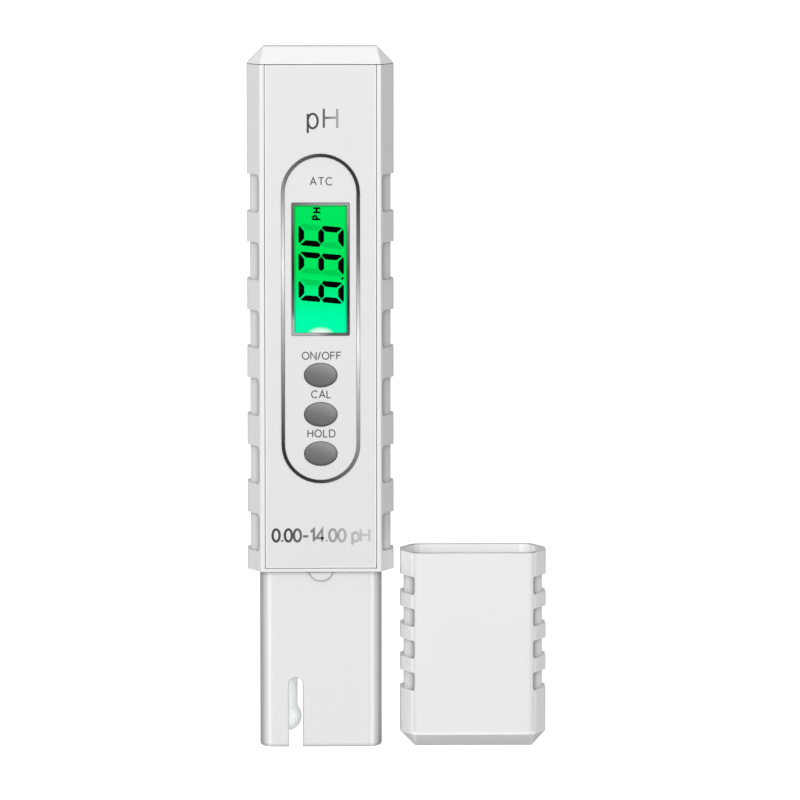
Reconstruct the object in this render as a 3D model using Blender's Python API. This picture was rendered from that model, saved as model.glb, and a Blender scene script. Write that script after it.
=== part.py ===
"""Pen-shaped digital pH meter with its protective cap off and standing beside it.

Metres, +Z up. The display faces -Y. The origin lies on the surface that the meter and the cap stand on,
midway between their two axes. The meter's axis is at -X, the cap's at +X.
"""

import math

import bmesh
import bpy
from mathutils import Matrix, Vector

# Body section, shared by the housing, the battery cap and the protective cap
BODY_WIDTH = 0.0313
BODY_DEPTH = 0.0170
FACET_WIDTH = 0.0028  # how far each slanted side facet reaches out past the flat front
SIDE_FLAT = 0.0058  # depth of the upright side, between the front and the rear facet
HOUSING_EDGE_RADIUS = 0.0005
CAP_EDGE_RADIUS = 0.0024
SIDE_RADIUS = 0.0030

# Heights on the meter
OVERALL_HEIGHT = 0.1500
HOUSING_BOTTOM = 0.0381
TOP_CHAMFER_HEIGHT = 0.0036
TOP_CHAMFER_INSET = 0.0036

# Walls and clearances
WALL = 0.0018
FRONT_WALL = 0.0022
SEAT = 0.0003  # gap between pieces that rest on or fit into each other
TRIM_GAP = 0.0001  # gap round the inlaid trim
TOP_SEAM = 0.00015  # between the housing and the battery cap
KEY_GAP = 0.00012  # gap round each button in its hole
SEAL_GAP = 0.0001  # gap between a seal and the walls it presses on
THROUGH = 0.0020  # how far a cutter runs past the wall that it goes through

# Side grip notches
NOTCH_COUNT = 6
NOTCH_PITCH = 0.0145
NOTCH_HEIGHT = 0.0081
NOTCH_LOWEST = 0.0464  # middle of the lowest notch
NOTCH_DEPTH = 0.00065
CAP_NOTCH_COUNT = 4
CAP_NOTCH_PITCH = 0.0069
CAP_NOTCH_HEIGHT = 0.0039
CAP_NOTCH_LOWEST = 0.0142
CAP_NOTCH_DEPTH = 0.0008
NOTCH_RIM = 0.0004  # solid edge left in front of and behind a notch
NOTCH_CORNER = 0.0011

# Faceplate and what is set in it
FACE_WIDTH = 0.0237
FACE_THICKNESS = 0.0009
FACE_BORDER = 0.0008  # housing edge below the faceplate
FACE_CORNER = 0.0003
RING_WIDTH = 0.0166
RING_LINE = 0.0006
RING_BOTTOM = 0.0572
RING_TOP = 0.1274
RING_SUNK = 0.0003
RING_PROUD = 0.0002
BEZEL_WIDTH = 0.0122
BEZEL_HEIGHT = 0.0282
BEZEL_LINE = 0.0005
BEZEL_THICKNESS = 0.0005
DISPLAY_Z = 0.1029

# Display stack
LCD_WIDTH = 0.0150
LCD_HEIGHT = 0.0310
LCD_THICKNESS = 0.0020
HOLDER_WALL = 0.0012
STRIP_WIDTH = 0.0014
GUIDE_THICKNESS = 0.0016
LED_SIZE = (0.0030, 0.0022, 0.0018)

# Circuit board, with its front face behind the display stack
BOARD_WIDTH = 0.0240
BOARD_THICKNESS = 0.0010
BOARD_FRONT_Y = -0.0009
BOARD_END_GAP = 0.0004  # between the board and the bosses above and below it
CONTROLLER_RADIUS = 0.0045  # round resin blob over the controller
CONTROLLER_RISE = 0.0013
AMPLIFIER_SIZE = (0.0050, 0.0040, 0.0015)
AMPLIFIER_PLACE = (-0.0045, 0.0680)
CRYSTAL_SIZE = (0.0032, 0.0075, 0.0025)
CRYSTAL_CORNER = 0.0015
CRYSTAL_PLACE = (0.0065, 0.0850)
CAPACITOR_RADIUS = 0.0020
CAPACITOR_LENGTH = 0.0050
CAPACITOR_PLACE = (0.0060, 0.0700)

# Push buttons and their switches
BUTTON_NAMES = ("on_off", "cal", "hold")
BUTTON_TOP_Z = 0.0803
BUTTON_PITCH = 0.0084
BUTTON_WIDTH = 0.0070
BUTTON_HEIGHT = 0.0051
BUTTON_PROUD = 0.0005
BUTTON_FLANGE = 1.22  # flange size over button size
BUTTON_FLANGE_THICKNESS = 0.0008
BUTTON_TRAVEL = 0.0007
SWITCH_SIDE = 0.0060
SWITCH_THICKNESS = 0.0028
SWITCH_FLOOR = 0.0005
PLUNGER_RADIUS = 0.00165

# Screw bosses and screws
BOSS_X = 0.0102
BOSS_UPPER_Z = 0.1230
BOSS_ABOVE_HOLDER = 0.0010  # from the sensor holder up to the lower bosses
BOSS_RADIUS = 0.0028
FRONT_BOSS_RADIUS = 0.0024
SCREW_RADIUS = 0.0009
SCREW_HEAD_RADIUS = 0.0018
SCREW_HEAD_HEIGHT = 0.0014
SCREW_LENGTH = 0.0090
SCREW_RECESS = 0.0004  # from the rear face down to the screw head
CROSS_WIDTH = 0.0005
CROSS_DEPTH = 0.0006

# Button cells and their tray
CELL_RADIUS = 0.0058
CELL_HEIGHT = 0.0054
CELL_STEP = 0.0008
CELL_SPACING = 0.0126
CELL_GAP = 0.00015
TRAY_FLOOR = 0.0008
TRAY_WINDOW = 0.0070
LINK_THICKNESS = 0.0004
PLUG_GAP = 0.0003
POST_WIDTH = 0.0040
POST_DEPTH = 0.0010
POST_OFFSET = 0.0044
POST_HEIGHT = 0.0030
SEAL_HEIGHT = 0.0010
SEAL_DEPTH = 0.0006
SEAL_ABOVE_PLUG = 0.0017
CONTACT_PLATE = 0.0011
CONTACT_THICKNESS = 0.0003
CONTACT_WIDTH = 0.0030

# Probe sleeve
SLEEVE_WIDTH = 0.0261
SLEEVE_DEPTH = 0.0136
SLEEVE_CORNER = 0.0030
SLEEVE_WALL = 0.0015
SLEEVE_FOOT_BEVEL = 0.0007
NECK_FLANGE = 0.0008  # how far the flange stands out of the neck
NECK_WALL = 0.0012
NECK_CORNER = 0.0034
FLANGE_HEIGHT = 0.0013
SLEEVE_TOP = 0.0445
LIP_HEIGHT = 0.0018  # lip at the housing's bottom that the flange rests on
SLOT_X = -0.00540
SLOT_WIDTH = 0.0030
SLOT_HEIGHT = 0.0150
PIP_RADIUS = 0.0027
PIP_RISE = 0.0004
PIP_ABOVE = 0.0005  # pip's centre above the housing's bottom edge

# Sensors
SENSOR_HOLDER_BOTTOM = 0.0180
HOLDER_FLANGE_HEIGHT = 0.0013
ELECTRODE_X = -0.0074
STEM_RADIUS = 0.0024
STEM_WALL = 0.0005
BULB_RADIUS = 0.0033
BULB_WALL = 0.0004
BULB_Z = 0.0058
REFERENCE_X = -0.0004
REFERENCE_BORE = 0.0022
JUNCTION_RADIUS = 0.0010
JUNCTION_LENGTH = 0.0052
JUNCTION_PROUD = 0.0025
WIRE_RADIUS = 0.00035
PLUG_HEIGHT = 0.0046
TEMPERATURE_X = 0.0065
TEMPERATURE_RADIUS = 0.0015
TEMPERATURE_WALL = 0.0004
TEMPERATURE_BOTTOM = 0.0050
BEAD_RADIUS = 0.0006
LEAD_RADIUS = 0.00045
SIGNAL_LEAD_RADIUS = 0.0006
LEAD_OVERLAP = 0.0040  # length of a lead that lies on the board

# Protective cap
CAP_HEIGHT = 0.0420
CAP_APART = 0.0014  # between the standing cap and the meter's housing
CAP_FIT = 0.0003  # clearance round the sleeve
CAP_FLOOR = 0.0024
CAP_CHAMFER_HEIGHT = 0.0028
CAP_CHAMFER_INSET = 0.0032
SPONGE_THICKNESS = 0.0013

# How finely round things are faceted
CORNER_STEPS = 4
ROUND_STEPS = 24
SMOOTH_ANGLE = math.radians(35)
TINY = 1e-7  # two places this close are the same

# Places that follow from the sizes above
FRONT_FLAT = BODY_WIDTH - 2 * FACET_WIDTH
HOUSING_TOP = OVERALL_HEIGHT - TOP_CHAMFER_HEIGHT - TOP_SEAM
BATTERY_CAP_BOTTOM = OVERALL_HEIGHT - TOP_CHAMFER_HEIGHT
FRONT_Y = -BODY_DEPTH / 2
REAR_Y = BODY_DEPTH / 2
INNER_FRONT_Y = FRONT_Y + FRONT_WALL
INNER_REAR_Y = REAR_Y - WALL
INNER_MIDDLE_Y = (INNER_FRONT_Y + INNER_REAR_Y) / 2
LCD_FRONT_Y = INNER_FRONT_Y + SEAT
LCD_BACK_Y = LCD_FRONT_Y + LCD_THICKNESS
BOARD_BACK_Y = BOARD_FRONT_Y + BOARD_THICKNESS
BOARD_TOP = BOSS_UPPER_Z - BOSS_RADIUS - BOARD_END_GAP
CONTACT_PLATE_BOTTOM = BOSS_UPPER_Z + BOSS_RADIUS + SEAT
CONTACT_PLATE_TOP = CONTACT_PLATE_BOTTOM + CONTACT_PLATE
TRAY_BOTTOM = CONTACT_PLATE_TOP + 4 * SEAT
CELLS_BOTTOM = TRAY_BOTTOM + TRAY_FLOOR + SEAT
CELLS_TOP = CELLS_BOTTOM + 2 * CELL_HEIGHT + SEAT
LINK_BOTTOM = CELLS_TOP + SEAT
PLUG_BOTTOM = LINK_BOTTOM + LINK_THICKNESS + SEAT
FLANGE_BOTTOM = HOUSING_BOTTOM + LIP_HEIGHT + SEAT
HOLDER_FLANGE_BOTTOM = SLEEVE_TOP + SEAT
HOLDER_TOP = HOLDER_FLANGE_BOTTOM + HOLDER_FLANGE_HEIGHT
WIRE_TOP = HOLDER_TOP + SEAT
BOSS_LOWER_Z = HOLDER_TOP + BOSS_ABOVE_HOLDER + BOSS_RADIUS
BOARD_BOTTOM = BOSS_LOWER_Z + BOSS_RADIUS + BOARD_END_GAP
FACE_BOTTOM = HOUSING_BOTTOM + FACE_BORDER
SLEEVE_SHOULDER = HOUSING_BOTTOM - SEAT
NECK_WIDTH = BODY_WIDTH - 2 * (WALL + SEAT + NECK_FLANGE)
NECK_DEPTH = BODY_DEPTH - 2 * (FRONT_WALL + SEAT + NECK_FLANGE)
CAP_SPACING = BODY_WIDTH + CAP_APART  # from the meter's axis to the cap's
CAP_SEATED_DROP = CAP_HEIGHT - (HOUSING_BOTTOM - SEAT)  # the cap's floor below the sleeve's foot


# Outlines -------------------------------------------------------------------------------------------------


def rounded(corners, steps=CORNER_STEPS):
    """Closed outline through corners of (u, v, radius), each an arc that touches its two sides."""
    points = []
    for index, (u, v, radius) in enumerate(corners):
        here = Vector((u, v))
        to_last = (Vector(corners[index - 1][:2]) - here).normalized()
        to_next = (Vector(corners[(index + 1) % len(corners)][:2]) - here).normalized()
        half_angle = to_last.angle(to_next) / 2
        centre = here + (to_last + to_next).normalized() * radius / math.sin(half_angle)
        first = here + to_last * radius / math.tan(half_angle) - centre
        last = here + to_next * radius / math.tan(half_angle) - centre
        start = math.atan2(first.y, first.x)
        sweep = math.remainder(math.atan2(last.y, last.x) - start, math.tau)
        for step in range(steps + 1):
            angle = start + sweep * step / steps
            points.append((centre.x + radius * math.cos(angle), centre.y + radius * math.sin(angle)))
    return points


def rectangle(width, height, radius=0.0, middle=(0.0, 0.0)):
    """Rectangle about its middle, with round corners where a radius is given."""
    u, v = middle
    corners = [(-width, -height), (width, -height), (width, height), (-width, height)]
    if not radius:
        return [(u + a / 2, v + b / 2) for a, b in corners]
    return rounded([(u + a / 2, v + b / 2, radius) for a, b in corners])


def ellipse(width, height, middle=(0.0, 0.0), steps=ROUND_STEPS):
    u, v = middle
    turns = [math.tau * step / steps for step in range(steps)]
    return [(u + width / 2 * math.cos(a), v + height / 2 * math.sin(a)) for a in turns]


def stadium(width, bottom, top, steps=ROUND_STEPS):
    """Upright slot shape about u = 0, with half-round ends."""
    radius = width / 2
    points = []
    for middle, start in ((top - radius, 0.0), (bottom + radius, math.pi)):
        turns = [start + math.pi * step / steps for step in range(steps + 1)]
        points += [(radius * math.cos(a), middle + radius * math.sin(a)) for a in turns]
    return points


def section_corners(inset, front_inset, rear_inset, edge_radius):
    """Right-hand corners of the body section, front to rear, moved in by the insets."""
    front = Vector((FRONT_FLAT / 2, FRONT_Y))
    side = Vector((BODY_WIDTH / 2, -SIDE_FLAT / 2))
    along = (side - front).normalized()
    base = front + Vector((-along.y, along.x)) * inset
    side_x = BODY_WIDTH / 2 - inset
    side_y = base.y + (side_x - base.x) * along.y / along.x

    def at_depth(y):
        return base.x + (y - base.y) * along.x / along.y

    edge = max(edge_radius - inset, HOUSING_EDGE_RADIUS / 2)
    round_side = max(SIDE_RADIUS - inset, HOUSING_EDGE_RADIUS)
    return [
        (at_depth(FRONT_Y + front_inset), FRONT_Y + front_inset, edge),
        (side_x, side_y, round_side),
        (side_x, -side_y, round_side),
        (at_depth(FRONT_Y + rear_inset), REAR_Y - rear_inset, edge),
    ]


def section(inset=0.0, front_inset=None, rear_inset=None, edge_radius=HOUSING_EDGE_RADIUS):
    """Whole body section, moved in by an inset that the front and the rear can have their own of."""
    front_inset = inset if front_inset is None else front_inset
    rear_inset = inset if rear_inset is None else rear_inset
    right = section_corners(inset, front_inset, rear_inset, edge_radius)
    left = [(-x, y, radius) for x, y, radius in reversed(right)]
    return rounded(right + left)


def half_section(side, seam_y, inset=0.0, face_inset=None):
    """Front (side -1) or rear (side +1) half of the body section, closed by a straight line at seam_y."""
    half = [(x, y) for x, y in section(inset, face_inset, face_inset) if side * y > 0]
    if side < 0:
        half = half[len(half) // 2 :] + half[: len(half) // 2]
    seam_x = BODY_WIDTH / 2 - inset
    return half + [(-side * seam_x, seam_y), (side * seam_x, seam_y)]


# Shapes ---------------------------------------------------------------------------------------------------


def extruded(outline, low, high, along="Z"):
    """Solid with one outline all along Y or Z. The outline's u and v are the other two axes, in order."""
    at = {"Y": lambda u, v: (u, low, v), "Z": lambda u, v: (u, v, low)}[along]
    bm = bmesh.new()
    face = bm.faces.new([bm.verts.new(at(u, v)) for u, v in outline])
    grown = bmesh.ops.extrude_face_region(bm, geom=[face])["geom"]
    step = Vector([high - low if axis == along else 0.0 for axis in "XYZ"])
    bmesh.ops.translate(bm, verts=[v for v in grown if isinstance(v, bmesh.types.BMVert)], vec=step)
    return bm


def box(width, depth, low, high, middle=(0.0, 0.0)):
    return extruded(rectangle(width, depth, middle=middle), low, high)


def ringed(outer, inner, low, high):
    """Upright ring between two outlines with the same number of points."""
    bm = bmesh.new()
    loops = [[bm.verts.new((u, v, z)) for u, v in outline] for outline in (outer, inner) for z in (low, high)]
    outer_low, outer_high, inner_low, inner_high = loops
    for first, second in (
        (outer_low, outer_high),
        (outer_high, inner_high),
        (inner_high, inner_low),
        (inner_low, outer_low),
    ):
        for index in range(len(first)):
            after = (index + 1) % len(first)
            bm.faces.new((first[index], first[after], second[after], second[index]))
    return bm


def turned(profile, closed=False, steps=ROUND_STEPS):
    """Solid turned about Z from (radius, z) points, which start and end on the axis or form a closed ring."""
    bm = bmesh.new()
    verts = [bm.verts.new((radius, 0.0, z)) for radius, z in profile]
    edges = [bm.edges.new(pair) for pair in zip(verts, verts[1:])]
    if closed:
        edges.append(bm.edges.new((verts[-1], verts[0])))
    bmesh.ops.spin(
        bm, geom=verts + edges, cent=(0, 0, 0), axis=(0, 0, 1), angle=math.tau, steps=steps, use_merge=True
    )
    bmesh.ops.remove_doubles(bm, verts=bm.verts[:], dist=TINY)
    return bm


def cylinder(radius, low, high, steps=ROUND_STEPS):
    return turned([(0, low), (radius, low), (radius, high), (0, high)], steps=steps)


def tube(radius, bore, low, high, steps=ROUND_STEPS):
    return turned([(radius, low), (radius, high), (bore, high), (bore, low)], closed=True, steps=steps)


def facing_front(bm):
    """Turns a solid made about Z so that its +Z end points to the front, -Y."""
    bm.transform(Matrix.Rotation(math.pi / 2, 4, "X"))
    return bm


def moved(bm, x=0.0, y=0.0, z=0.0):
    bmesh.ops.translate(bm, verts=bm.verts[:], vec=(x, y, z))
    return bm


def hull_of(*loops):
    """Convex solid round loops of 3-D points."""
    bm = bmesh.new()
    verts = [bm.verts.new(point) for loop in loops for point in loop]
    made = bmesh.ops.convex_hull(bm, input=verts, use_existing_faces=False)
    bmesh.ops.delete(bm, geom=list(set(made["geom_interior"] + made["geom_unused"])), context="VERTS")
    bmesh.ops.dissolve_limit(bm, angle_limit=math.radians(0.5), verts=bm.verts[:], edges=bm.edges[:])
    return bm


def strip_outline(line, thickness):
    """Outline of a bent strip of even thickness along an open line."""
    points = [Vector(point) for point in line]
    sides = []
    for index, point in enumerate(points):
        back = (point - points[index - 1]).normalized() if index else None
        ahead = (points[index + 1] - point).normalized() if index + 1 < len(points) else None
        along = (back or ahead) + (ahead or back)
        normal = Vector((-along.y, along.x)).normalized()
        lean = normal.dot(Vector((-(ahead or back).y, (ahead or back).x)))
        sides.append(normal * thickness / 2 / lean)
    left = [point + side for point, side in zip(points, sides)]
    right = [point - side for point, side in zip(points, sides)]
    return [tuple(point) for point in left + right[::-1]]


def combined(solids):
    """Several separate solids in one mesh, for use as one cutter."""
    whole = bmesh.new()
    for solid in solids:
        mesh = bpy.data.meshes.new("piece")
        solid.to_mesh(mesh)
        solid.free()
        whole.from_mesh(mesh)
        bpy.data.meshes.remove(mesh)
    return whole


# Objects and their finishes -------------------------------------------------------------------------------

# Finish: colour, roughness, metallic
WHITE_PLASTIC = ((0.80, 0.80, 0.80), 0.45, 0.0)
FACE_PLASTIC = ((0.76, 0.76, 0.76), 0.55, 0.0)
CHROME = ((0.55, 0.55, 0.55), 0.12, 1.0)
CLEAR_PLASTIC = ((0.85, 0.92, 0.88), 0.05, 0.0)
GREEN_GLASS = ((0.02, 0.80, 0.20), 0.10, 0.0)
MILKY_PLASTIC = ((0.60, 0.95, 0.70), 0.30, 0.0)
BLACK_PLASTIC = ((0.02, 0.02, 0.02), 0.50, 0.0)
GREY_RUBBER = ((0.13, 0.13, 0.13), 0.60, 0.0)
BLACK_RUBBER = ((0.02, 0.02, 0.02), 0.80, 0.0)
GREEN_BOARD = ((0.02, 0.18, 0.06), 0.40, 0.0)
STEEL = ((0.60, 0.60, 0.62), 0.25, 1.0)
BRASS = ((0.75, 0.55, 0.25), 0.30, 1.0)
SILVER = ((0.75, 0.75, 0.75), 0.30, 1.0)
CLEAR_GLASS = ((0.92, 0.95, 0.95), 0.02, 0.0)
CERAMIC = ((0.85, 0.83, 0.78), 0.80, 0.0)
EPOXY = ((0.70, 0.70, 0.68), 0.35, 0.0)
RED_INSULATION = ((0.60, 0.03, 0.02), 0.40, 0.0)
BLACK_INSULATION = ((0.02, 0.02, 0.02), 0.40, 0.0)
WHITE_INSULATION = ((0.75, 0.75, 0.72), 0.40, 0.0)
SPONGE = ((0.80, 0.72, 0.35), 0.95, 0.0)


def painted(obj, finish):
    colour, roughness, metallic = finish
    material = bpy.data.materials.new(obj.name)
    material.use_nodes = True
    shader = material.node_tree.nodes["Principled BSDF"]
    shader.inputs["Base Color"].default_value = (*colour, 1.0)
    shader.inputs["Roughness"].default_value = roughness
    shader.inputs["Metallic"].default_value = metallic
    obj.data.materials.append(material)


def empty(name, location, parent=None):
    obj = bpy.data.objects.new(name, None)
    obj.location = location
    obj.parent = parent
    bpy.context.scene.collection.objects.link(obj)
    return obj


def solid(name, bm, parent, finish):
    """Object made from a bmesh, with its faces pointing out."""
    bmesh.ops.recalc_face_normals(bm, faces=bm.faces[:])
    mesh = bpy.data.meshes.new(name)
    bm.to_mesh(mesh)
    bm.free()
    mesh.shade_smooth()
    mesh.set_sharp_from_angle(angle=SMOOTH_ANGLE)
    obj = bpy.data.objects.new(name, mesh)
    obj.parent = parent
    bpy.context.scene.collection.objects.link(obj)
    if finish:
        painted(obj, finish)
    return obj


def tool(name, bm, parent):
    """Helper solid that only cuts or joins others."""
    obj = solid(name, bm, parent, None)
    obj.hide_render = True
    obj.display_type = "WIRE"
    return obj


def boolean(obj, operation, helpers):
    for name, bm in helpers.items():
        modifier = obj.modifiers.new(name, "BOOLEAN")
        modifier.operation = operation
        modifier.solver = "EXACT"
        modifier.object = tool(f"{obj.name}.{name}", bm, obj.parent)


def cut(obj, **helpers):
    boolean(obj, "DIFFERENCE", helpers)


def joined(obj, **helpers):
    boolean(obj, "UNION", helpers)


# Grip notches ---------------------------------------------------------------------------------------------


def notch_cutters(count, pitch, height, lowest, depth, edge_radius):
    """Pockets down both sides of the body. Their floors follow the section, moved in by the depth."""
    floor = section(depth, 0.0, 0.0, edge_radius)
    limit = BODY_DEPTH / 2 - NOTCH_RIM
    outside = BODY_WIDTH / 2 + THROUGH
    right = [(x, y) for x, y in floor if x > 0 and abs(y) < limit]
    front_x, rear_x = (edge_crossing(floor, y) for y in (-limit, limit))
    outline = [(front_x, -limit), *right, (rear_x, limit), (outside, limit), (outside, -limit)]
    solids = []
    for index in range(count):
        middle = lowest + index * pitch
        for side in (1, -1):
            bm = extruded([(side * x, y) for x, y in outline], middle - height / 2, middle + height / 2)
            corners = [edge for edge in bm.edges if is_pocket_corner(edge, limit)]
            bmesh.ops.bevel(bm, geom=corners, offset=NOTCH_CORNER, segments=3, profile=0.5, affect="EDGES")
            bmesh.ops.recalc_face_normals(bm, faces=bm.faces[:])
            solids.append(bm)
    return combined(solids)


def edge_crossing(outline, y):
    """Where the right-hand side of an outline crosses a depth, as x."""
    for (x0, y0), (x1, y1) in zip(outline, outline[1:]):
        if x0 > 0 and x1 > 0 and min(y0, y1) <= y <= max(y0, y1) and y0 != y1:
            return x0 + (x1 - x0) * (y - y0) / (y1 - y0)
    raise ValueError("the outline never reaches that depth")


def is_pocket_corner(edge, limit):
    """True for a pocket's four short edges, which lie along X at its front and rear ends."""
    first, second = (vert.co for vert in edge.verts)
    along_x = abs(first.y - second.y) < TINY and abs(first.z - second.z) < TINY
    return along_x and abs(abs(first.y) - limit) < TINY


# Housing --------------------------------------------------------------------------------------------------


def shell(name, side, parent):
    """Front (side -1) or rear (side +1) half of the housing, hollow, with the lip that holds the sleeve."""
    face_wall = FRONT_WALL if side < 0 else WALL
    outer = half_section(side, side * SEAT / 2)
    cavity = half_section(side, -side * THROUGH, WALL, face_wall)
    mouth = neck_outline(SEAT)
    notches = notch_cutters(
        NOTCH_COUNT, NOTCH_PITCH, NOTCH_HEIGHT, NOTCH_LOWEST, NOTCH_DEPTH, HOUSING_EDGE_RADIUS
    )
    obj = solid(name, extruded(outer, HOUSING_BOTTOM, HOUSING_TOP), parent, WHITE_PLASTIC)
    cut(
        obj,
        cavity=extruded(cavity, HOUSING_BOTTOM + LIP_HEIGHT, HOUSING_TOP + THROUGH),
        mouth=extruded(mouth, HOUSING_BOTTOM - THROUGH, HOUSING_BOTTOM + LIP_HEIGHT + THROUGH),
        notches=notches,
    )
    return obj


def boss_places():
    """Screw places as (name, x, z)."""
    return [
        (f"{level}_{hand}", x, z)
        for level, z in (("upper", BOSS_UPPER_Z), ("lower", BOSS_LOWER_Z))
        for hand, x in (("left", -BOSS_X), ("right", BOSS_X))
    ]


def across(radius, front_y, rear_y, x, z):
    """Cylinder along Y between two depths."""
    return extruded(ellipse(2 * radius, 2 * radius, (x, z)), front_y, rear_y, "Y")


def make_front_shell(parent):
    obj = shell("front_shell", -1, parent)
    places = [(x, z) for _, x, z in boss_places()]
    inside_wall = INNER_FRONT_Y - FRONT_WALL / 4
    joined(
        obj,
        bosses=combined([across(FRONT_BOSS_RADIUS, inside_wall, -SEAT / 2, x, z) for x, z in places]),
    )
    pilot = SCREW_RADIUS + SEAT
    recess_y = FRONT_Y + FACE_THICKNESS + SEAT
    recess_bottom, recess_top = FACE_BOTTOM - TRIM_GAP, HOUSING_TOP + THROUGH
    window = bezel_opening(TRIM_GAP)
    cut(
        obj,
        pilots=combined([across(pilot, screw_tip_y() - SEAT, THROUGH, x, z) for x, z in places]),
        recess=box(
            FACE_WIDTH + 2 * TRIM_GAP, 2 * THROUGH, recess_bottom, recess_top, (0.0, recess_y - THROUGH)
        ),
        window=extruded(window, FRONT_Y - THROUGH, INNER_FRONT_Y + THROUGH, "Y"),
        buttons=combined([button_hole(z) for z in button_heights()]),
    )


def make_rear_shell(parent):
    obj = shell("rear_shell", 1, parent)
    places = [(x, z) for _, x, z in boss_places()]
    inside_wall = INNER_REAR_Y + WALL / 4
    joined(obj, bosses=combined([across(BOSS_RADIUS, SEAT / 2, inside_wall, x, z) for x, z in places]))
    seat_y = screw_head_y() - SEAT
    head_hole = SCREW_HEAD_RADIUS + SEAT
    cut(
        obj,
        heads=combined([across(head_hole, seat_y, REAR_Y + THROUGH, x, z) for x, z in places]),
        shafts=combined([across(SCREW_RADIUS + SEAT, -THROUGH, REAR_Y, x, z) for x, z in places]),
    )


def screw_head_y():
    """Underside of the screw heads."""
    return REAR_Y - SCREW_RECESS - SCREW_HEAD_HEIGHT


def screw_tip_y():
    return screw_head_y() - SCREW_LENGTH


def make_screws(parent):
    dome = SCREW_HEAD_HEIGHT * 0.3
    profile = [
        (0.0, 0.0),
        (SCREW_RADIUS * 0.5, 0.0),
        (SCREW_RADIUS, SCREW_RADIUS),
        (SCREW_RADIUS, SCREW_LENGTH),
        (SCREW_HEAD_RADIUS, SCREW_LENGTH),
        (SCREW_HEAD_RADIUS, SCREW_LENGTH + SCREW_HEAD_HEIGHT - dome),
        (SCREW_HEAD_RADIUS * 0.8, SCREW_LENGTH + SCREW_HEAD_HEIGHT),
        (0.0, SCREW_LENGTH + SCREW_HEAD_HEIGHT),
    ]
    to_rear = Matrix.Rotation(-math.pi / 2, 4, "X")
    for place, x, z in boss_places():
        bm = turned(profile, steps=ROUND_STEPS // 2)
        bm.transform(to_rear)
        obj = solid(f"shell_screw_{place}", moved(bm, x, screw_tip_y(), z), parent, STEEL)
        top_y = screw_head_y() + SCREW_HEAD_HEIGHT
        arm = SCREW_HEAD_RADIUS * 1.2
        floor_y = top_y - CROSS_DEPTH
        cut(
            obj,
            cross_a=extruded(rectangle(arm, CROSS_WIDTH, middle=(x, z)), floor_y, top_y + THROUGH, "Y"),
            cross_b=extruded(rectangle(CROSS_WIDTH, arm, middle=(x, z)), floor_y, top_y + THROUGH, "Y"),
        )


# Faceplate and display ------------------------------------------------------------------------------------


def button_heights():
    return [BUTTON_TOP_Z - index * BUTTON_PITCH for index in range(len(BUTTON_NAMES))]


def button_hole(z):
    outline = ellipse(BUTTON_WIDTH + 2 * KEY_GAP, BUTTON_HEIGHT + 2 * KEY_GAP, (0.0, z))
    return extruded(outline, FRONT_Y - THROUGH, INNER_FRONT_Y + THROUGH, "Y")


def bezel_opening(grow=0.0):
    """What the bezel leaves open, as (x, z)."""
    width = BEZEL_WIDTH - 2 * BEZEL_LINE + 2 * grow
    height = BEZEL_HEIGHT - 2 * BEZEL_LINE + 2 * grow
    return rectangle(width, height, FACE_CORNER, (0.0, DISPLAY_Z))


def ring_between(width, bottom, top, line, grow, front_y, back_y):
    """Flat stadium ring, its line made wider by grow on both sides."""
    outer = stadium(width + 2 * grow, bottom - grow, top + grow)
    inner = stadium(width - 2 * line - 2 * grow, bottom + line + grow, top - line - grow)
    return facing_front(ringed(outer, inner, -back_y, -front_y))


def make_faceplate(parent):
    height = HOUSING_TOP - FACE_BOTTOM
    middle = (0.0, (HOUSING_TOP + FACE_BOTTOM) / 2)
    outline = rectangle(FACE_WIDTH, height, FACE_CORNER, middle)
    plate = extruded(outline, FRONT_Y, FRONT_Y + FACE_THICKNESS, "Y")
    obj = solid("faceplate", plate, parent, FACE_PLASTIC)
    hole = rectangle(BEZEL_WIDTH + 2 * TRIM_GAP, BEZEL_HEIGHT + 2 * TRIM_GAP, FACE_CORNER, (0.0, DISPLAY_Z))
    groove_y = FRONT_Y + RING_SUNK + TRIM_GAP
    groove = ring_between(
        RING_WIDTH, RING_BOTTOM, RING_TOP, RING_LINE, TRIM_GAP, FRONT_Y - THROUGH, groove_y
    )
    cut(
        obj,
        window=extruded(hole, FRONT_Y - THROUGH, FRONT_Y + THROUGH, "Y"),
        buttons=combined([button_hole(z) for z in button_heights()]),
        groove=groove,
    )


def make_trim(parent):
    ring = ring_between(
        RING_WIDTH, RING_BOTTOM, RING_TOP, RING_LINE, 0.0, FRONT_Y - RING_PROUD, FRONT_Y + RING_SUNK
    )
    solid("trim_ring", ring, parent, CHROME)
    outer = rectangle(BEZEL_WIDTH, BEZEL_HEIGHT, FACE_CORNER, (0.0, DISPLAY_Z))
    bezel = ringed(outer, bezel_opening(), -bezel_back(), RING_PROUD - FRONT_Y)
    solid("display_bezel", facing_front(bezel), parent, CHROME)


def bezel_back():
    return FRONT_Y - RING_PROUD + BEZEL_THICKNESS


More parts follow.
